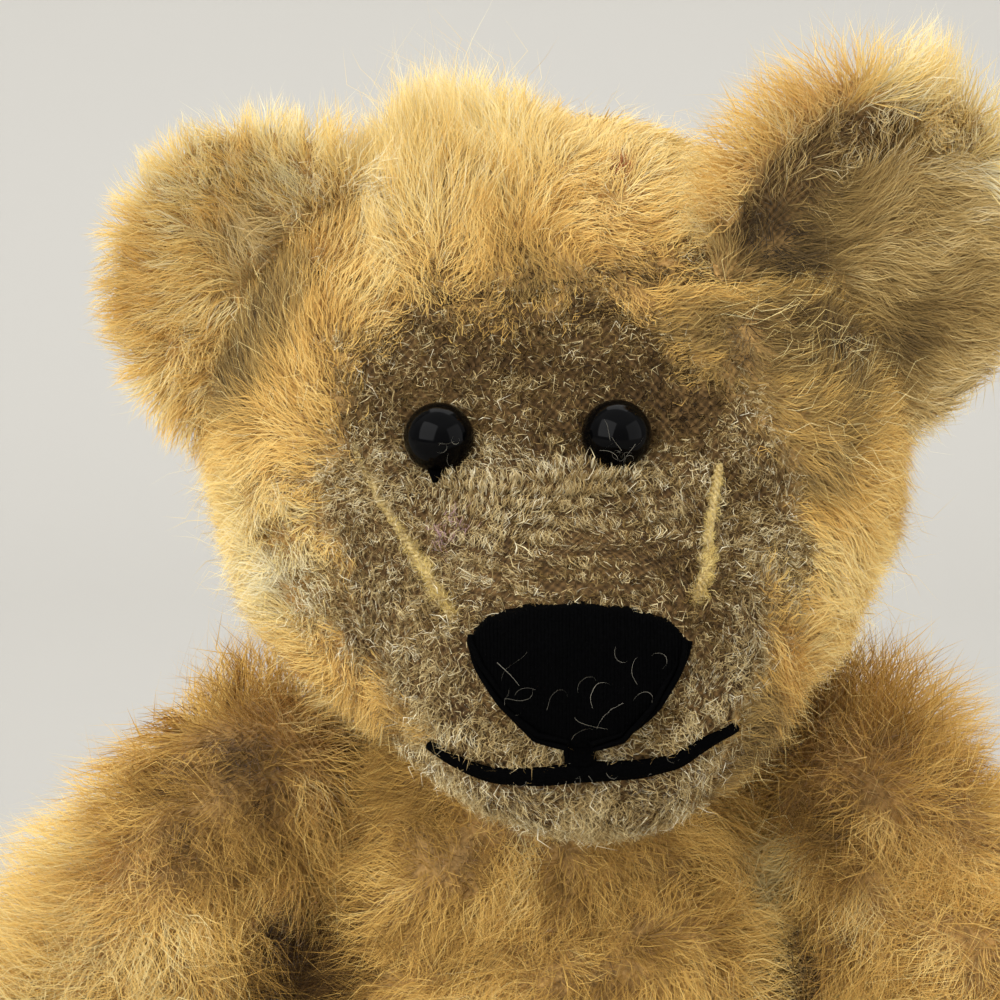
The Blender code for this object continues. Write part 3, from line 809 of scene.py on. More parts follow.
# How the head's pile lies over the brow, seen from ahead: distances from the brow's middle, then ways
COMB_ACROSS = np.array((-42, -16, 0, 14, 30)) * MM
COMB_SIDEWAYS = (0.42, 0.36, 0.05, 0.75, 1.0)
COMB_UPWARDS = (0.9, 0.92, 1.0, 0.65, 0.4)


def head_comb(places):
    """Pile runs up over the brow, out and down over the cheeks, and down at the back."""
    across = places[:, 0] - BROW.x
    top = ramp(places[:, 2] - BROW.z, 14 * MM, 26 * MM)
    upper = np.zeros_like(places)
    upper[:, 0] = np.interp(across, COMB_ACROSS, COMB_SIDEWAYS)
    upper[:, 1] = 0.35
    upper[:, 2] = np.interp(across, COMB_ACROSS, COMB_UPWARDS) * (1 - 0.75 * top * ramp(across, 0, 10 * MM))
    lower = np.zeros_like(places)
    lower[:, 0] = np.tanh(across / (12 * MM))
    lower[:, 2] = -0.45
    up = ramp(places[:, 2] - BROW.z, -8 * MM, 6 * MM)[:, None]
    back = ramp(places[:, 1], 6 * MM, 26 * MM)[:, None]
    return (upper * up + lower * (1 - up)) * (1 - back) + np.array([0, 0.25, -1.0]) * back


def head_front_density(places, normals):
    overhang = 4 * MM * ramp(places[:, 2] - BROW.z, 2 * MM, 10 * MM)
    share = ramp(-clipped_distance(places), -3 * MM - overhang, 4 * MM)
    front = places[:, 1] < HEAD_SPLIT
    return share * front * FRONT_DENSITY * clear_of(places, ["torso_skin"], NECK_ROOM)


def head_back_density(places, normals):
    return (places[:, 1] >= HEAD_SPLIT) * BACK_DENSITY * clear_of(places, ["torso_skin"], NECK_ROOM)


def fly_away(style, rng, count, share=0.18):
    """Turns a share of a pile's strands into thin, long, pale fibres that stand off it."""
    loose = rng.random(count) < share
    for key, factor in (("length", rng.uniform(1.0, 1.4, count)), ("lean", 0.75), ("width", 0.42)):
        style[key] = style[key] * np.where(loose, factor, 1)
    style["shade"] = style["shade"] + np.where(loose, 0.13, 0)
    return style


# Patches of the head's pile, as painted() takes them: partly its own darker and lighter colour, partly
# painted shade and painted light
HEAD_PATCHES = (
    (-38, 177, 6, -0.28),
    (-36, 170, 6, -0.22),
    (-43, 165, 6, -0.28),
    (-42, 171, 5, -0.2),
    (-39, 162, 5, -0.12),
    (-46, 159, 6, -0.4),
    (-5, 181, 8, -0.18),
    (6, 185, 8, -0.12),
    (19, 173, 6, -0.32),
    (19, 180, 5, 0.3),
    (30, 172, 7, -0.48),
    (39, 168, 6, -0.48),
    (41, 160, 6, -0.3),
    (29, 162, 6, -0.2),
    (34, 154, 6, -0.38),
    (-38, 147, 6, 0.08),
    (-34, 137, 6, 0.32),
    (32, 144, 5, 0.18),
    (25, 127, 6, -0.4),
    (-24, 124, 7, -0.1),
)


def head_style(places, normals, settings, rng):
    """Long pile, tall on the crown's peak and short round the clipped face, in patches of its own colour and
    of painted shade and light, with painted shade along its lower edge.
    """
    count = len(places)
    height = places[:, 2] - BROW.z
    across = places[:, 0] - BROW.x
    crown = ramp(height, 14 * MM, 30 * MM)
    peak = crown * np.exp(-(((across + 7.5 * MM) / (8 * MM)) ** 2))
    flat = crown * ramp(across, -1 * MM, 6 * MM)
    edge = ramp(-clipped_distance(places), -3 * MM, 10 * MM)
    cheek = ramp(np.abs(across), 22 * MM, 38 * MM) * (1 - crown)
    temple = ramp(height, -4 * MM, 6 * MM) * (1 - crown) * ramp(np.abs(across), 22 * MM, 32 * MM)
    patch = smooth_noise(places, 16 * MM, 21)[:, 0]
    fine = smooth_noise(places, 2.4 * MM, 22)[:, 0]
    tuft = near(places, RUSTY_TUFT, 1.8 * MM) > 0.45
    # paint is the pile's own patches of colour together with painted shade and painted light; under is
    # painted shade along the head's lower edge, where the pile is also shorter
    paint = painted(places, HEAD_PATCHES)
    under = ramp(places[:, 2], 130 * MM, 119 * MM)
    notch = ramp(places[:, 2], 182 * MM, 188 * MM) * np.exp(-(((places[:, 0] + 20 * MM) / (6 * MM)) ** 2))
    length = 0.72 - 0.14 * crown + 0.42 * peak - 0.16 * flat - 0.06 * cheek - 0.15 * temple
    length = length + 0.1 * np.minimum(paint, 0) + 0.4 * notch - 0.3 * under
    shade = 0.72 + 0.14 * crown - 0.08 * flat + 0.05 * patch + 0.05 * fine - 0.20 * (1 - edge)
    shade = shade - 0.05 * ramp(across, 8 * MM, 30 * MM) * (1 - flat) + 0.07 * cheek + paint - 0.3 * under
    shade = shade + rng.normal(size=count) * 0.045
    style = {
        "length": settings.length * np.maximum(length, 0.3) * (0.3 + 0.7 * edge) * (1 + 0.1 * patch),
        "lean": 0.66 - 0.34 * crown + 0.5 * flat + 0.04 * cheek + 0.1 * temple - 0.25 * notch,
        "comb": head_comb(places),
        "wild": 0.5 + 0.7 * (1 - edge),
        "curl": 0.2 + 0.2 * (1 - edge),
        "lock": 0.45,
        "lock_size": 2.0 * MM,
        "lock_tone": 0.03,
        "pits": 0.08,
        "width": settings.width * rng.uniform(0.6, 1.15, count),
        "shade": np.maximum(shade, 0.06),
    }
    style = fly_away(style, rng, count)
    style["shade"] = np.where(tuft, RUSTY_SHADE, style["shade"])
    return style


def back_style(places, normals, settings, rng):
    style = head_style(places, normals, settings, rng)
    style["width"] = style["width"] * 2.1
    return style


def wisp_density(places, normals):
    return ramp(-clipped_distance(places), 2 * MM, 9 * MM) * WISP_DENSITY


def wisp_style(places, normals, settings, rng):
    """Long stray fibres that stand off the pile."""
    style = head_style(places, normals, settings, rng)
    count = len(places)
    style.update(
        length=style["length"] * rng.uniform(1.0, 1.45, count),
        lean=style["lean"] * 0.75,
        wild=0.7,
        curl=0.3,
        lock=0.1,
        width=settings.width * 0.45,
        shade=0.8 + rng.normal(size=count) * 0.06,
    )
    return style


def bridge_band(places):
    """1 along the band of upright stubble that runs under the eyes."""
    lower = np.maximum(4 * MM - places[:, 0], 0) * 0.14
    height = (places[:, 2] - BROW.z + 4.4 * MM + lower) / (2.3 * MM)
    across = ramp(np.abs(places[:, 0] + 4 * MM), 17 * MM, 12 * MM)
    return np.exp(-(height**2)) * across


def cropped_density(places, normals):
    share = ramp(clipped_distance(places), -6 * MM, 0)
    forehead = ramp(places[:, 2] - BROW.z, -3 * MM, 3 * MM)
    mottled = 1 + 0.25 * smooth_noise(places, 3 * MM, 31)[:, 0]
    amount = (9.2 - 1.8 * forehead + 3 * bridge_band(places)) * np.clip(mottled, 0.3, 2)
    away = ramp(eye_distance(places), EYE_RADIUS * 1.0, EYE_RADIUS * 1.12)
    lips = 1 - 0.96 * np.exp(-((mouth_distance(places) / (1.9 * MM)) ** 4))
    return share * amount * away * lips * ~nose_cover(places) * PER_SQUARE_MM


def fringe_density(places, normals):
    return np.where(normals[:, 1] < 0.3, FUZZ_DENSITY, 0)


def fringe_style(places, normals, settings, rng):
    """Straw-coloured fuzz that stands on the face seams, thinner where the right one sinks into the cloth."""
    count = len(places)
    fade = ramp(places[:, 2] - NOSE_HIGH.z, 0, 6 * MM) * (places[:, 0] < NOSE.x)
    stitch = np.sin(2 * math.pi * places[:, 2] / (1.9 * MM))
    low = ramp(places[:, 2], NOSE_HIGH.z + 3 * MM, NOSE_HIGH.z - 3 * MM)
    comb = smooth_noise(places, 1.2 * MM, 36, 3)
    comb[:, 2] -= 0.6
    return {
        "length": settings.cropped * (0.5 - 0.15 * fade + 0.45 * low) * (1 + 0.3 * stitch),
        "lean": 0.8,
        "comb": comb,
        "wild": 0.9,
        "curl": 0.5,
        "lock": 0.4,
        "lock_size": 0.6 * MM,
        "lock_tone": 0.06,
        "pits": 0.15,
        "width": settings.width * 0.6 * rng.uniform(0.6, 1.3, count),
        "shade": 0.66 - 0.2 * fade + 0.12 * stitch + rng.normal(size=count) * 0.08,
    }


def mouth_distance(places):
    lines = [centre_line(f"mouth_stitch_{part}", 0, 12) for part in SIDES]
    lift = np.array((0, 0, MM))
    return np.minimum(*[line_distance(places, line + lift) for line in lines])


# Patches of the cropped face, as painted() takes them: partly its own darker and lighter colour, partly
# painted shade and painted light
FACE_PATCHES = (
    (-26, 170, 6, 0.2),
    (17, 162, 5, -0.28),
    (24, 161, 4, 0.32),
    (-8, 157, 5, 0.1),
    (3, 157, 4, -0.14),
    (-14, 152, 6, 0.55),
    (13, 153, 4, 0.22),
    (24, 152, 4, -0.2),
    (13, 148, 5, -0.18),
    (-30, 148, 4, 0.15),
    (-30, 138, 8, 0.42),
    (16, 142, 4, -0.18),
    (-15, 131, 6, 0.37),
    (21, 132, 6, 0.56),
    (10, 129, 3, -0.2),
    (-3, 117, 5, 0.22),
)


def cropped_style(places, normals, settings, rng):
    """Short curled fibres in tufts, each tuft with a way and a shade of its own."""
    count = len(places)
    forehead = ramp(places[:, 2] - BROW.z, -3 * MM, 3 * MM)
    band = bridge_band(places)
    chin = near(places, CHIN_TUFT, 2.5 * MM)
    lips = ramp(places[:, 2] - NOSE.z, -5 * MM, -10 * MM)
    patch = smooth_noise(places, 9 * MM, 33)[:, 0]
    tufts = smooth_noise(places, 1.1 * MM, 34, 4)
    comb = tufts[:, :3].copy()
    comb[:, 2] += 2.2 * band - 1.0 * lips + 0.4 * chin
    longer = 1 + 0.25 * band + 0.6 * chin + 0.2 * lips + 0.1 * patch
    side = ramp(np.abs(places[:, 0] + MM), 12 * MM, 22 * MM) * (1 - forehead)
    shade = 0.78 - 0.18 * forehead + 0.26 * band + 0.2 * chin + 0.16 * lips + 0.1 * side
    # FACE_PATCHES add painted light and painted shade as well as the face's own darker and lighter patches
    shade = shade + painted(places, FACE_PATCHES)
    shade = shade + 0.05 * patch + 0.08 * tufts[:, 3] + rng.normal(size=count) * 0.13
    lower_stain = MAUVE_STAIN - np.array((0, 0, 4 * MM))
    stained = near(places, MAUVE_STAIN, 3.2 * MM) + 0.5 * near(places, lower_stain, 3 * MM)
    return {
        "length": settings.cropped * longer * rng.uniform(0.6, 1.4, count),
        "lean": 0.56 - 0.26 * band - 0.16 * chin,
        "comb": comb,
        "wild": 0.35,
        "curl": 0.75 - 0.45 * band,
        "lock": 0.6,
        "lock_size": 1.2 * MM,
        "lock_tone": 0.08,
        "pits": 0.38,
        "width": settings.width * 0.85 * rng.uniform(0.6, 1.3, count),
        "shade": np.where(stained > rng.uniform(0.3, 1.6, count), MAUVE_SHADE, np.clip(shade, 0.04, 0.93)),
    }


# An ear's front as seen from ahead, in x and z: the line between the left ear's gold rim pile and the bare
# strip beside it, how wide that strip is along it, the foot that an ear's pile fans out from, and its
# patches, which are partly its own colour and partly painted shade and painted light
STRIP_START, STRIP_WAY = np.array((22.4, 185.4)) * MM, np.array((0.741, 0.671))
STRIP_ALONG, STRIP_WIDTHS = np.array((0, 12, 24, 32)) * MM, np.array((6.5, 9, 12, 12.5)) * MM
EAR_FOOT = {"left": np.array((21, 177)) * MM, "right": np.array((-43, 155)) * MM}
EAR_PATCHES = {
    "left": (
        (24, 183, 6, -0.25),
        (29.5, 180, 6, -0.3),
        (35.5, 187, 4, -0.15),
        (33, 175, 4, -0.2),
        (38, 167, 6, -0.2),
        (47, 171, 6, -0.22),
        (50, 180, 5, 0.12),
        (41, 196, 6, 0.2),
        (53, 195, 7, 0.25),
        (60, 184, 7, 0.08),
    ),
    "right": ((-44, 179, 7, 0.2), (-44, 168, 6, -0.05), (-47, 159, 6, -0.12)),
}


def ear_parts(places, normals, side):
    """Shares of an ear's gold rim pile, of its bare strip, and of its front."""
    front = ramp(-normals[:, 1], -0.1, 0.45)
    if side == "right":
        ragged = smooth_noise(places, 5 * MM, 62)[:, 0] * 2 * MM
        beside = ramp(places[:, 0] + ragged, -41 * MM, -48 * MM)
        rim = np.maximum(beside, ramp(places[:, 2] + ragged, 183 * MM, 190 * MM))
        return rim, np.zeros(len(places)), front
    seen = places[:, [0, 2]] - STRIP_START
    along = seen @ STRIP_WAY
    above = seen @ np.array((-STRIP_WAY[1], STRIP_WAY[0])) - 1.5 * MM * np.sin(along / (8 * MM))
    above = above + smooth_noise(places, 4 * MM, 61)[:, 0] * 0.9 * MM
    width = np.interp(along, STRIP_ALONG, STRIP_WIDTHS)
    reach = np.linalg.norm(places[:, [0, 2]] - np.array(EARS[side])[[0, 2]], axis=1)
    start = 21 * MM - 4 * MM * ramp(places[:, 0], 45 * MM, 52 * MM)
    rim = np.maximum(ramp(above, -0.6 * MM, MM), ramp(reach - start, 0, 2 * MM) * (places[:, 2] > 188 * MM))
    bare = ramp(above + width, -2 * MM, 2 * MM) * (1 - rim) * front * ramp(along, -3 * MM, 0)
    bare = bare * ramp(along, 33 * MM, 25 * MM)
    return rim, bare, front


def ear_density(side, inner):
    def density(places, normals):
        rim, bare, front = ear_parts(places, normals, side)
        outside_head = clear_of(places, ["head_skin"], 0.5 * MM)
        inside = front * (1 - rim)
        lit = ramp(places[:, 2], 182 * MM, 190 * MM) * ramp(np.abs(places[:, 0]), 22 * MM, 30 * MM)
        amount = inside * (6.0 - 2.4 * bare) if inner else (1 - inside) * (2.4 + (4.6 + 1.6 * lit) * front)
        return amount * outside_head * PER_SQUARE_MM

    return density


def ear_style(side, inner):
    def style(places, normals, settings, rng):
        count = len(places)
        rim, bare, _ = ear_parts(places, normals, side)
        seen = places[:, [0, 2]]
        fan = np.zeros_like(places)
        fan[:, [0, 2]] = unit(seen - EAR_FOOT[side])
        out = unit(places - np.array(EARS[side]))
        strip = np.array((STRIP_WAY[0], 0, STRIP_WAY[1]))
        comb = fan * (1 - bare[:, None]) + strip * bare[:, None] if inner else out
        reach = np.linalg.norm(seen - np.array(EARS[side])[[0, 2]], axis=1)
        edge = ramp(reach, 14 * MM, 23 * MM)
        patch = smooth_noise(places, 7 * MM, 42)[:, 0]
        fine = smooth_noise(places, 2.2 * MM, 41)[:, 0]
        if inner:
            # EAR_PATCHES add painted shade and painted light as well as the ear's own darker and lighter
            # patches
            shade = 0.64 + 0.14 * edge + painted(places, EAR_PATCHES[side])
            length = 0.62 - 0.18 * bare - 0.12 * edge
        else:
            root = ramp(places[:, 0], -38 * MM, -30 * MM) * ramp(places[:, 2], 184 * MM, 190 * MM)
            if side == "right":
                top = ramp(places[:, 2], 182 * MM, 188 * MM)
            else:
                top = ramp(places[:, 0], 37 * MM, 43 * MM)
            shade = 0.78 + 0.1 * top
            length = 0.6 + (0.42 * rim if side == "left" else 0.3 * root)
        shade = shade + 0.05 * patch + 0.05 * fine + rng.normal(size=count) * 0.05
        style = {
            "length": settings.length * length,
            "lean": 0.66 + (0.22 if inner else -0.24 * rim),
            "comb": comb,
            "wild": 0.5 + 0.4 * bare,
            "curl": 0.18 + 0.1 * bare,
            "lock": 0.45,
            "lock_size": 1.8 * MM,
            "lock_tone": 0.04 + 0.06 * bare,
            "pits": 0.10 + 0.2 * bare,
            "width": settings.width * rng.uniform(0.6, 1.1, count) * (1 - 0.15 * bare),
            "shade": np.maximum(shade, 0.06),
        }
        return fly_away(style, rng, count)

    return style


# Worn, darker places of the body, in millimetres, each with its radius
WORN_SPOTS = (
    (-54.7, -20.6, 92, 6.5),
    (-47, -24, 91, 6),
    (-62, -15, 93, 4),
    (-48.2, -10.4, 105.1, 4),
    (-41.9, -15.1, 99.1, 3.5),
    (51.4, -11, 105.3, 4.5),
    (58, -16, 98, 5),
    (30, -20, 98, 4),
    (-19.6, -24, 98, 6),
    (-20, -26, 86, 3.5),
    (1, -26, 100, 6),
)


# Patches of the body's pile, as painted() takes them: partly its own darker and lighter colour, partly
# painted shade, such as the shadow under the head, and painted light
BODY_PATCHES = (
    (-49, 103, 9, -0.2),
    (-36, 105, 5, 0.22),
    (-33, 92, 5, -0.15),
    (-20, 106, 6, -0.2),
    (-26, 90, 5, -0.15),
    (-27, 78, 5, -0.42),
    (-67, 92, 6, 0.24),
    (-69, 76, 8, 0.2),
    (-56, 78, 8, 0.28),
    (-20, 87, 5, 0.1),
    (-12, 85, 5, -0.1),
    (-6, 84, 5, -0.25),
    (-4, 97, 5, 0.38),
    (3, 91, 4, -0.15),
    (10, 89, 4, 0.18),
    (11, 82, 6, -0.2),
    (24, 82, 6, -0.18),
    (25, 95, 5, 0.15),
    (31, 101, 5, -0.2),
    (31, 87, 6, 0.42),
    (36, 93, 5, 0.25),
    (38, 109, 7, -0.25),
    (42, 94, 5, -0.42),
    (45, 89, 4, 0.32),
    (42, 81, 5, -0.3),
    (51, 92, 6, -0.18),
    (59, 95, 6, 0.1),
)


def worn_share(places):
    worn = 0.6 * ramp(smooth_noise(places, 9 * MM, 51)[:, 0], 0.5, 1.2)
    for *spot, radius in WORN_SPOTS:
        worn = np.maximum(worn, near(places, np.array(spot) * MM, radius * MM))
    return worn


def seen_share(places, normals):
    """1 on the upper front, which the pile is thickest on, so that its strands go where they show."""
    return ramp(places[:, 2], 55 * MM, 75 * MM) * ramp(-normals[:, 1], -0.5, 0.1)


def body_density(name, thin, thick):
    skins = [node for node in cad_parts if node.endswith("_skin") and node != f"{name}_skin"]
    pads = [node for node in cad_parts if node.startswith(name) and node.endswith("_pad")]

    def density(places, normals):
        amount = thin + (thick - thin) * seen_share(places, normals)
        free = clear_of(places, skins, 1.2 * MM) & clear_of(places, pads, 0.8 * MM)
        return amount * (1 - 0.25 * worn_share(places)) * free * (places[:, 2] > 0.8 * MM) * PER_SQUARE_MM

    return density


def body_style(down, base_shade, lean, longer=1.0):
    """Pile of the torso or a limb, which runs towards `down`."""

    def style(places, normals, settings, rng):
        count = len(places)
        seen = seen_share(places, normals)
        worn = worn_share(places)
        patch = smooth_noise(places, 12 * MM, 52)[:, 0]
        fine = smooth_noise(places, 3.2 * MM, 53)[:, 0]
        comb = np.tile(np.array(down, float), (count, 1)) + 0.5 * normals * np.array((1, 0, 0))
        if abs(down[0]) > 0:
            comb[:, 0] = abs(down[0]) * np.sign(places[:, 0] - CHEST_SEAM)
        cleft = np.exp(-(((places[:, 0] - CHEST_SEAM) / (1.2 * MM)) ** 2)) * (abs(down[0]) > 0)
        # Painted shadow: the pile where each arm meets the torso is darkened, and made longer, to stand for
        # the shade in the gap between them
        armpit_shadow = np.maximum(near(places, ARMPITS[0], 12 * MM), near(places, ARMPITS[1], 8 * MM))
        armpit_shadow = armpit_shadow * ramp(places[:, 2], 86 * MM, 79 * MM)
        lower = ramp(places[:, 2], 92 * MM, 82 * MM) + 2 * ramp(places[:, 2], 81 * MM, 75 * MM)
        shade = base_shade + 0.05 * patch + 0.06 * fine + 0.05 * lower - 0.3 * worn - 0.1 * cleft
        # BODY_PATCHES add painted shade and painted light as well as the pile's own darker and lighter
        # patches
        shade = shade - 1.2 * armpit_shadow + painted(places, BODY_PATCHES)
        out = np.abs(places[:, 0])
        shoulder = ramp(places[:, 2], 98 * MM, 108 * MM) * ramp(out, 28 * MM, 36 * MM)
        outer = ramp(out, 58 * MM, 70 * MM) * ramp(places[:, 2], 50 * MM, 60 * MM)
        right = 0.8 - 1.6 * ramp(out, 46 * MM, 54 * MM)
        proud = np.where(places[:, 0] > 0, 1.5, right) * shoulder * (1 - outer) + 1.3 * outer
        fuller = (1 - 0.35 * worn) * (1 + 0.5 * armpit_shadow) * (1 + 0.25 * proud)
        style = {
            "length": settings.length * longer * (1 + 0.15 * patch) * fuller,
            "lean": lean - 0.3 * proud,
            "comb": comb,
            "wild": 0.8,
            "curl": 0.36 + 0.1 * worn,
            "lock": 0.4,
            "lock_size": 2.0 * MM,
            "lock_tone": 0.05,
            "pits": 0.14,
            "width": settings.width * (2.0 - 1.15 * seen) * rng.uniform(0.65, 1.2, count),
            "shade": np.maximum(shade + rng.normal(size=count) * 0.055, 0.04),
        }
        return fly_away(style, rng, count)

    return style


# ---------------------------------------------------------------- threads


def centre_line(node, axis, count):
    """The middle of a thread-shaped node, read along one axis, as an array of places."""
    places = points_of(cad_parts[node].data)[0]
    places = places[np.argsort(places[:, axis])]
    cuts = np.linspace(places[0, axis], places[-1, axis], count + 1)
    which = np.clip(np.searchsorted(cuts, places[:, axis], side="right") - 1, 0, count - 1)
    groups = [places[which == i] for i in range(count)]
    line = [group.mean(0) for group in groups if len(group)]
    line[0], line[-1] = groups[0][:4].mean(0), groups[-1][-4:].mean(0)
    return np.array(line)


def run_along(line):
    """How far each point of a line is from its start, along the line."""
    gaps = np.linalg.norm(np.diff(line, axis=0), axis=1)
    return np.concatenate([[0], np.cumsum(gaps)])


def resampled(line, count):
    run = run_along(line)
    at = np.linspace(0, run[-1], count)
    return np.stack([np.interp(at, run, line[:, axis]) for axis in range(3)], 1)


def eased(line, rounds):
    """The line with its small bends smoothed out and its ends kept."""
    for _ in range(rounds):
        line = np.concatenate([line[:1], (line[:-2] + line[1:-1] + line[2:]) / 3, line[-1:]])
    return line


def threads_mesh(name, lines, radius, resolution=2):
    """Round threads along the given lines, as one mesh with closed ends."""
    curve = bpy.data.curves.new(name, "CURVE")
    curve.dimensions = "3D"
    curve.bevel_depth = radius
    curve.bevel_resolution = resolution
    curve.use_fill_caps = True
    for line in lines:
        spline = curve.splines.new("POLY")
        spline.points.add(len(line) - 1)
        for place, point in zip(spline.points, line):
            place.co = (*point, 1)
    bm = bmesh.new()
    bm.from_mesh(mesh_of(new_object(name, curve)))
    bmesh.ops.remove_doubles(bm, verts=bm.verts, dist=WELD)
    bmesh.ops.recalc_face_normals(bm, faces=bm.faces)
    return mesh_from(name, bm)


def twisted(line, strands, spread, pitch):
    """Lines that wind round a middle line, as the strands of a stitched thread."""
    run = run_along(line)
    along = unit(np.gradient(line, axis=0))
    side = unit(np.cross(along, [0, 1, 0]))
    out = unit(np.cross(side, along))
    made = []
    for strand in range(strands):
        angle = 2 * math.pi * (run / pitch + strand / strands)
        turned = side * np.cos(angle)[:, None] + out * np.sin(angle)[:, None]
        made.append(line + np.broadcast_to(spread, len(line))[:, None] * turned)
    return made


def front_point(tree, x, z, lift):
    """The place that lies furthest to the front at x and z, lifted off the surface."""
    hit, normal, _, _ = tree.ray_cast(Vector((x, AHEAD, z)), Vector((0, 1, 0)))
    return None if hit is None else np.array(hit + normal * lift)


def surface_tree(mesh):
    bm = bmesh.new()
    bm.from_mesh(mesh)
    return tree_of(bm)


# ---------------------------------------------------------------- operators


class BEAR_OT_sew_skins(bpy.types.Operator):
    """Sew the cloth of the head, ears, torso and limbs"""

    bl_idname = "bear.sew_skins"
    bl_label = "Sew skins"

    def execute(self, context):
        material = backing_material(context.scene.worn_bear_cloth)
        self.sew("head_cloth", "head_skin", SEWING["head"], material)
        self.sew("torso_cloth", "torso_skin", SEWING["torso"], material)
        for side in SIDES:
            self.sew(f"ear_{side}_cloth", f"ear_{side}", SEWING["ear"], material, hollow=False)
            for limb in ("arm", "leg"):
                self.sew(f"{limb}_{side}_cloth", f"{limb}_{side}_skin", SEWING[limb], material)
        return {"FINISHED"}

    def sew(self, name, node, sewing, material, hollow=True):
        mesh = soft_surface(name, node, *sewing, hollow)
        places, normals = points_of(mesh)
        puckers = smooth_noise(places, 14 * MM, 5)[:, 0] * 0.25 * MM
        moved = places + normals * puckers[:, None]
        moved[:, 2] = np.maximum(moved[:, 2], 0)
        move_points(mesh, moved)
        box_map(mesh, "weave_map")
        bare = mesh.attributes.new("bare", "FLOAT", "POINT")
        bare.data.foreach_set("value", self.bare_share(node, moved, normals).astype(np.float32))
        piece = make_object(name, mesh, BODIES[name], material, (node,))

    def bare_share(self, node, places, normals):
        if node == "head_skin":
            return clipped_share(places)
        if node.startswith("ear"):
            return ear_parts(places, normals, node.split("_")[1])[1]
        return 0.6 * worn_share(places)


class BEAR_OT_raise_pile(bpy.types.Operator):
    """Raise long pile on the bear, and short cropped pile on its face"""

    bl_idname = "bear.raise_pile"
    bl_label = "Raise pile"

    def execute(self, context):
        settings = context.scene.worn_bear_pile
        long_pile = strand_material("long_pile", LONG_SHADES, 0.75, 0.65, gloss=0.18)
        body_pile = strand_material("body_pile", BODY_SHADES, 0.72, 0.7, gloss=0.12)
        cropped = strand_material("cropped_pile", CROPPED_SHADES, 0.42, 0.8, gloss=0.1, sheen=0.04)
        shaded = strand_material("shaded_pile", INNER_SHADES, 0.5, 0.65)
        tufts = context.scene.worn_bear_cloth.thread * 2
        layers = [
            ("head_front_pile", "head_cloth", head_front_density, head_style, 3, long_pile, 0),
            ("head_back_pile", "head_cloth", head_back_density, back_style, 3, long_pile, 0),
            ("head_wisps", "head_cloth", wisp_density, wisp_style, 4, long_pile, 0),
            ("face_pile", "head_cloth", cropped_density, cropped_style, 3, cropped, tufts),
        ]
        for side in SIDES:
            cloth = f"ear_{side}_cloth"
            for part, inner, material in (("rim", False, long_pile), ("inner", True, shaded)):
                name = f"ear_{side}_{part}_pile"
                layers.append((name, cloth, ear_density(side, inner), ear_style(side, inner), 3, material, 0))
            arm, leg = f"arm_{side}", f"leg_{side}"
            style, density = body_style((0, -0.5, -0.8), 0.70, 0.56), body_density(arm, 0.9, 4.8)
            layers.append((f"{arm}_pile", f"{arm}_cloth", density, style, 3, body_pile, 0))
            style = body_style((0, -1, -0.1), 0.6, 0.66, 0.8)
            layers.append((f"{leg}_pile", f"{leg}_cloth", body_density(leg, 0.7, 3), style, 3, body_pile, 0))
        style = body_style((0.9, 0, -1), 0.66, 0.6, 0.85)
        layers.append(("torso_pile", "torso_cloth", body_density("torso", 0.8, 4.9), style, 3, body_pile, 0))
        for seed, (name, cloth, density, style, rows, material, tufts) in enumerate(layers):
            under = bpy.data.objects[cloth]
            mesh = raise_pile(name, under.data, density, style, rows, 100 * (seed + 1), settings, tufts)
            make_object(name, mesh, BODIES[cloth], material)
        return {"FINISHED"}


class BEAR_OT_set_eyes(bpy.types.Operator):
    """Set the two boot-button eyes"""

    bl_idname = "bear.set_eyes"
    bl_label = "Set eyes"

    def execute(self, context):
        material = button_material()
        for side, place in EYES.items():
            bm = bmesh.new()
            bmesh.ops.create_uvsphere(bm, u_segments=48, v_segments=32, radius=EYE_RADIUS)
            turn = Matrix.Translation(place) @ Matrix.Rotation(math.pi / 2, 4, "X")
            bmesh.ops.transform(bm, matrix=turn, verts=bm.verts)
            mesh = mesh_from(f"eye_{side}_button", bm)
            make_object(mesh.name, mesh, "head", material, (f"eye_{side}",))
        return {"FINISHED"}


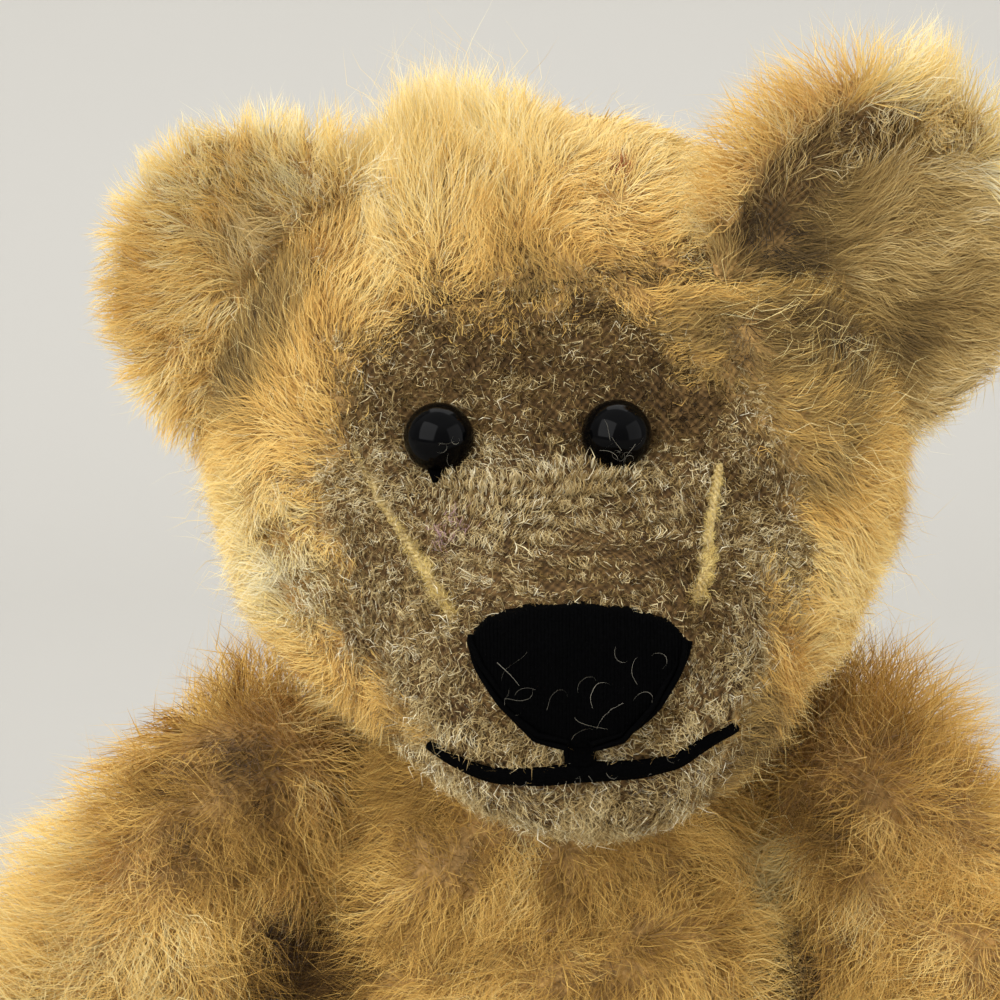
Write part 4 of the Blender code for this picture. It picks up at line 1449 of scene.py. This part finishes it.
class BEAR_OT_stitch_face(bpy.types.Operator):
    """Stitch the nose and mouth, raise the two face seams, and lay stray fibres over them"""

    bl_idname = "bear.stitch_face"
    bl_label = "Stitch face"

    def execute(self, context):
        face = context.scene.worn_bear_face
        black = fibre_material("black_thread", face.thread_colour, 0.8, 2600.0, spread=0.6, gloss=0.02)
        straw = fibre_material("straw_thread", face.seam_colour, 0.9, 2200.0)
        self.cloth = surface_tree(bpy.data.objects["head_cloth"].data)
        self.stitch_nose(face, black)
        self.stitch_mouth(face, black)
        pile = context.scene.worn_bear_pile
        fuzzy = strand_material("seam_fringe", SEAM_SHADES, 0.7, 0.8, gloss=0.1)
        steps = 48
        for side in SIDES:
            node = f"gusset_seam_{side}"
            line = resampled(centre_line(node, 2, 9), steps)
            line[:, 1] += np.linspace(0.5, 1.3 if side == "right" else 0.9, steps) * MM
            lines = twisted(line, 3, face.seam_thread * np.linspace(1.9, 1.3, steps), 2.8 * MM)
            mesh = threads_mesh(f"{node}_threads", lines, face.seam_thread)
            make_object(mesh.name, mesh, "head", straw, (node,))
            fuzz = raise_pile(f"{node}_fringe", mesh, fringe_density, fringe_style, 3, 80, pile)
            make_object(fuzz.name, fuzz, "head", fuzzy)
        self.black_point_under_eye(black, face)
        self.lay_strays(context)
        return {"FINISHED"}

    def black_point_under_eye(self, black, face):
        """A small black point made of thread under the right eye's button."""
        eye = EYES["right"]
        tip = front_point(self.cloth, eye.x, eye.z - EYE_RADIUS - 1.3 * MM, 1.4 * MM)
        lines = []
        for across in np.linspace(-1.8, 1.8, 9) * MM:
            top = front_point(self.cloth, eye.x + across, eye.z - EYE_RADIUS * 0.72, 1.7 * MM)
            bend = (top + tip) / 2 + np.array((across * 0.12, 0, 0))
            lines.append(resampled(np.array((top, bend, tip)), 8))
        mesh = threads_mesh("eye_right_thread", lines, face.mouth_thread * 0.8)
        make_object(mesh.name, mesh, "head", black)

    def stitch_nose(self, face, black):
        """Upright satin stitches side by side over the nose's form, and a raised edge down each side."""
        self.nose = tree_of(node_bmesh("nose_stitching"))
        rng = np.random.default_rng(70)
        lines = []
        pitch = face.nose_thread * 1.2
        heights = np.linspace(NOSE_HIGH.z, NOSE_LOW.z, 60)
        for x in np.arange(NOSE_LOW.x + pitch, NOSE_HIGH.x - pitch / 2, pitch):
            lift = face.nose_thread * rng.uniform(0.05, 0.4)
            hits = [front_point(self.nose, x, z, lift) for z in heights]
            hits = np.array([hit for hit in hits if hit is not None])
            if len(hits) > 4:
                lines.append(resampled(hits, 16))
        for outside in (NOSE_LOW.x, NOSE_HIGH.x):
            edge = []
            for z in np.linspace(NOSE_HIGH.z - 5 * MM, NOSE_LOW.z + 0.4 * MM, 14):
                row = [front_point(self.nose, x, z, 0.3 * MM) for x in np.linspace(outside, NOSE.x, 60)]
                edge += [hit for hit in row if hit is not None][:1]
            lines += twisted(resampled(np.array(edge), 40), 3, face.nose_thread * 1.3, 30 * MM)
        mesh = threads_mesh("nose_threads", [lowered_nose(line) for line in lines], face.nose_thread)
        make_object("nose_threads", mesh, "head", black)
        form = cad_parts["nose_stitching"].data.copy()
        core = evaluated_mesh("nose_core", form, ("REMESH", {"mode": "VOXEL", "voxel_size": 0.8 * MM}))
        move_points(core, lowered_nose(points_of(core)[0]))
        core.shade_smooth()
        make_object("nose_core", core, "head", black, ("nose_stitching",))

    def stitch_mouth(self, face, black):
        """Flat bands of floss, thinner at their outer ends."""
        rng = np.random.default_rng(71)
        steps, under_middle, knots = 36, 6, 7
        for part, axis, half in (("left", 0, 0.95 * MM), ("right", 0, 0.9 * MM), ("middle", 2, 1.5 * MM)):
            node = f"mouth_stitch_{part}"
            line = centre_line(node, axis, 12 if axis == 0 else 3)
            if part == "middle":
                line = line[::-1] + np.linspace(0.9, -0.9, len(line))[:, None] * np.array((0, 0, MM))
            line = resampled(line, 60)
            line = resampled(line[under_middle:] if part == "right" else line[:-under_middle], steps)
            if part != "middle":
                line[0 if part == "left" else -1, 0] -= SIDES[part] * 0.7 * MM
            along = unit(np.gradient(line, axis=0))
            across = unit(np.cross(along, (0, 1, 0)))
            outer = np.linspace(1, 0, steps) if part == "right" else np.linspace(0, 1, steps)
            taper = 1 - 0.8 * outer**1.6 * (axis == 0)
            lines = []
            for place in np.linspace(-1, 1, 7):
                at = np.linspace(0, steps - 1, knots)
                sway = np.interp(np.arange(steps), at, rng.normal(size=knots)) * 0.05 * MM
                offset = across * (place * half * taper + sway)[:, None]
                wanted = line + offset + np.array((0, 0, face.mouth_lift))
                lift = face.mouth_thread * (1.3 - 0.6 * place**2) + 0.7 * MM
                hits = [front_point(self.cloth, x, z, lift) for x, _, z in wanted]
                lines.append(eased(np.array([hit for hit in hits if hit is not None]), 8))
            mesh = threads_mesh(f"{node}_threads", lines, face.mouth_thread)
            make_object(mesh.name, mesh, "head", black, (node,))

    def lay_strays(self, context):
        """Single curled fibres that lie over the nose, the mouth and the eyes."""
        rng = np.random.default_rng(72)
        paths = []
        for _ in range(NOSE_STRAYS):
            x = rng.uniform(NOSE_LOW.x + 3 * MM, NOSE_HIGH.x - MM)
            z = rng.uniform(NOSE_LOW.z, NOSE_HIGH.z - 5 * MM)
            paths.append(self.curl_over(self.nose, x, z, rng.uniform(3, 6.5) * MM, rng, 0.72 * MM))
        for _ in range(MOUTH_STRAYS):
            x = rng.uniform(-17, 20) * MM
            z = np.interp(x / MM, (-17, -8, 1, 9, 20), (124, 122, 124.5, 122.6, 127)) * MM + rng.normal() * MM
            paths.append(self.curl_over(self.cloth, x, z, rng.uniform(2, 4) * MM, rng, 2.2 * MM, down=True))
        for side, place in EYES.items():
            bm = bmesh.new()
            bmesh.ops.create_icosphere(bm, subdivisions=4, radius=EYE_RADIUS)
            bmesh.ops.translate(bm, vec=place, verts=bm.verts)
            tree = tree_of(bm)
            for _ in range(EYE_STRAYS[side]):
                x = place.x + rng.uniform(-1, 3.4) * MM
                z = place.z - rng.uniform(-1.2, 3.6) * MM
                paths.append(self.curl_over(tree, x, z, rng.uniform(2, 4.5) * MM, rng, 0.12 * MM))
        paths = np.array([path for path in paths if path is not None])
        side = unit(np.cross(unit(paths[:, -1] - paths[:, 0]), (0.01, -1, 0)))
        width = context.scene.worn_bear_pile.width * 0.23
        material = strand_material("stray_fibre", STRAY_SHADES, 0.9, 0.7, sheen=0.0)
        mesh = strand_mesh("stray_fibres", paths, side, width, rng.uniform(0.1, 0.9, len(paths)), rng)
        make_object("stray_fibres", mesh, "head", material)

    def curl_over(self, tree, x, z, length, rng, lift, down=False):
        """A curled path over a surface, as seen from ahead, or None if it runs off it."""
        steps = 14
        heading = -math.pi / 2 + rng.normal() * 0.5 if down else rng.uniform(0, 2 * math.pi)
        bend, drift = rng.normal() * 0.2, rng.normal() * 0.03
        path = []
        for _ in range(steps):
            hit = front_point(tree, x, z, lift)
            if hit is None:
                return None
            path.append(hit)
            x, z = x + math.cos(heading) * length / steps, z + math.sin(heading) * length / steps
            heading, bend = heading + bend, bend + drift
        return np.array(path)


class BEAR_OT_fit_pads(bpy.types.Operator):
    """Fit the felt pads of paws and soles"""

    bl_idname = "bear.fit_pads"
    bl_label = "Fit pads"

    def execute(self, context):
        felt = fibre_material("matted_felt", context.scene.worn_bear_cloth.felt, 0.95, 900.0, sheen=0.2)
        for side in SIDES:
            for limb, node in (("arm", f"arm_{side}_paw_pad"), ("leg", f"leg_{side}_sole_pad")):
                mesh = soft_surface(f"{node}_felt", node, *SEWING["pad"], hollow=False)
                piece = make_object(mesh.name, mesh, f"{limb}_{side}", felt, (node,))
        return {"FINISHED"}


class BEAR_OT_finish_insides(bpy.types.Operator):
    """Give stuffing, discs, washers and pins their finish"""

    bl_idname = "bear.finish_insides"
    bl_label = "Finish insides"

    def execute(self, context):
        wool = fibre_material("wood_wool", (0.52, 0.38, 0.17), 0.95, 500.0, spread=0.5, bump_height=0.001)
        board = fibre_material("hardboard", (0.12, 0.06, 0.03), 0.8, 1500.0)
        values = {"Base Color": (0.42, 0.41, 0.39, 1), "Metallic": 1.0}
        steel, tree, shader = new_material("dull_steel", values)
        dulling = [(0.3, grey(0.25)), (0.7, grey(0.5))]
        through_ramp(tree, object_noise(tree, 1800.0, 4.0), dulling, shader.inputs["Roughness"])
        finishes = {"filling": wool, "disc": board, "washer": steel, "pin": steel}
        for name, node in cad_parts.items():
            finish = finishes.get(name.rsplit("_", 1)[-1])
            if finish:
                node.data.materials.clear()
                node.data.materials.append(finish)
        return {"FINISHED"}


class BEAR_OT_set_stage(bpy.types.Operator):
    """Set the floor, the wall, the lights and the camera"""

    bl_idname = "bear.set_stage"
    bl_label = "Set stage"

    def execute(self, context):
        stage = context.scene.worn_bear_stage
        self.lay_backdrop(stage)
        self.hang_lights()
        self.place_camera(context, stage)
        context.scene.view_settings.view_transform = "Standard"
        return {"FINISHED"}

    def lay_backdrop(self, stage):
        """One sheet: floor, then a wide curve up into the wall."""
        bm = bmesh.new()
        half, front, wall, bend = 2.5, -1.5, 0.75, 0.35
        profile = [(front, 0.0)]
        for step in range(13):
            angle = math.pi / 2 * step / 12
            profile.append((wall - bend + bend * math.sin(angle), bend - bend * math.cos(angle)))
        profile.append((wall, 2.5))
        verts = [bm.verts.new((-half, y, z)) for y, z in profile]
        edges = [bm.edges.new(pair) for pair in zip(verts, verts[1:])]
        made = bmesh.ops.extrude_edge_only(bm, edges=edges)["geom"]
        moved = [g for g in made if isinstance(g, bmesh.types.BMVert)]
        bmesh.ops.translate(bm, vec=(2 * half, 0, 0), verts=moved)
        bmesh.ops.recalc_face_normals(bm, faces=bm.faces)
        mesh = mesh_from("backdrop", bm)
        values = {"Base Color": (*stage.backdrop, 1), "Roughness": 0.9}
        paper, _, _ = new_material("backdrop_paper", values)
        mesh.materials.append(paper)
        sheet = new_object("backdrop", mesh)

    def hang_lights(self):
        # Each lamp's place, its size in metres and its power in watts
        lights = {
            "window": ((-0.8, -0.95, 0.85), 1.4, 19.0),
            "fill": ((1.1, -0.6, 0.5), 1.2, 6.0),
            "rim": ((0.1, 0.6, 0.95), 0.9, 6.0),
        }
        for name, (place, size, power) in lights.items():
            light = bpy.data.lights.new(name, "AREA")
            light.shape, light.size, light.energy = "SQUARE", size, power
            lamp = new_object(name, light)
            lamp.location = place
            lamp.rotation_euler = (LIGHT_AIM - lamp.location).to_track_quat("-Z", "Y").to_euler()
        world = bpy.data.worlds.new("soft_light")
        world.use_nodes = True
        tree = world.node_tree
        place = add_node(tree, "ShaderNodeTexCoord")
        split = add_node(tree, "ShaderNodeSeparateXYZ")
        link(tree, place.outputs["Generated"], split.inputs[0])
        glow = [(0.0, grey(0.45)), (0.45, grey(0.55)), (0.8, grey(0.95))]
        through_ramp(tree, split.outputs["Z"], glow, tree.nodes["Background"].inputs["Color"])
        bpy.context.scene.world = world

    def place_camera(self, context, stage):
        data = bpy.data.cameras.new("camera")
        data.lens, data.sensor_width, data.clip_start = stage.lens, SENSOR_WIDTH, 0.01
        camera = new_object("camera", data)
        down = stage.lowering
        forwards = Vector((0, math.cos(down), -math.sin(down)))
        upwards = Vector((0, math.sin(down), math.cos(down)))
        camera.matrix_world = Matrix.Translation(CAMERA_AIM - forwards * stage.distance) @ Matrix(
            (Vector((1, 0, 0)), upwards, -forwards)
        ).transposed().to_4x4()
        context.scene.camera = camera


class BEAR_PT_sidebar(bpy.types.Panel):
    bl_idname = "BEAR_PT_sidebar"
    bl_label = "Worn Mohair Bear"
    bl_space_type = "VIEW_3D"
    bl_region_type = "UI"
    bl_category = "Bear"

    def draw(self, context):
        for name in SETTINGS:
            group = getattr(context.scene, name)
            for key in group.__annotations__:
                self.layout.prop(group, key)
        for operator in OPERATORS:
            self.layout.operator(operator.bl_idname)


SETTINGS = {
    "worn_bear_cloth": WornBearCloth,
    "worn_bear_pile": WornBearPile,
    "worn_bear_face": WornBearFace,
    "worn_bear_stage": WornBearStage,
}
OPERATORS = (
    BEAR_OT_sew_skins,
    BEAR_OT_raise_pile,
    BEAR_OT_set_eyes,
    BEAR_OT_stitch_face,
    BEAR_OT_fit_pads,
    BEAR_OT_finish_insides,
    BEAR_OT_set_stage,
)


def register():
    for name, group in SETTINGS.items():
        bpy.utils.register_class(group)
        setattr(bpy.types.Scene, name, bpy.props.PointerProperty(type=group))
    for operator in OPERATORS:
        bpy.utils.register_class(operator)
    bpy.utils.register_class(BEAR_PT_sidebar)


def unregister():
    bpy.utils.unregister_class(BEAR_PT_sidebar)
    for operator in reversed(OPERATORS):
        bpy.utils.unregister_class(operator)
    for name, group in SETTINGS.items():
        delattr(bpy.types.Scene, name)
        bpy.utils.unregister_class(group)


def main():
    register()
    for operator in OPERATORS:
        area, action = operator.bl_idname.split(".")
        getattr(getattr(bpy.ops, area), action)()


if __name__ == "__main__":
    main()
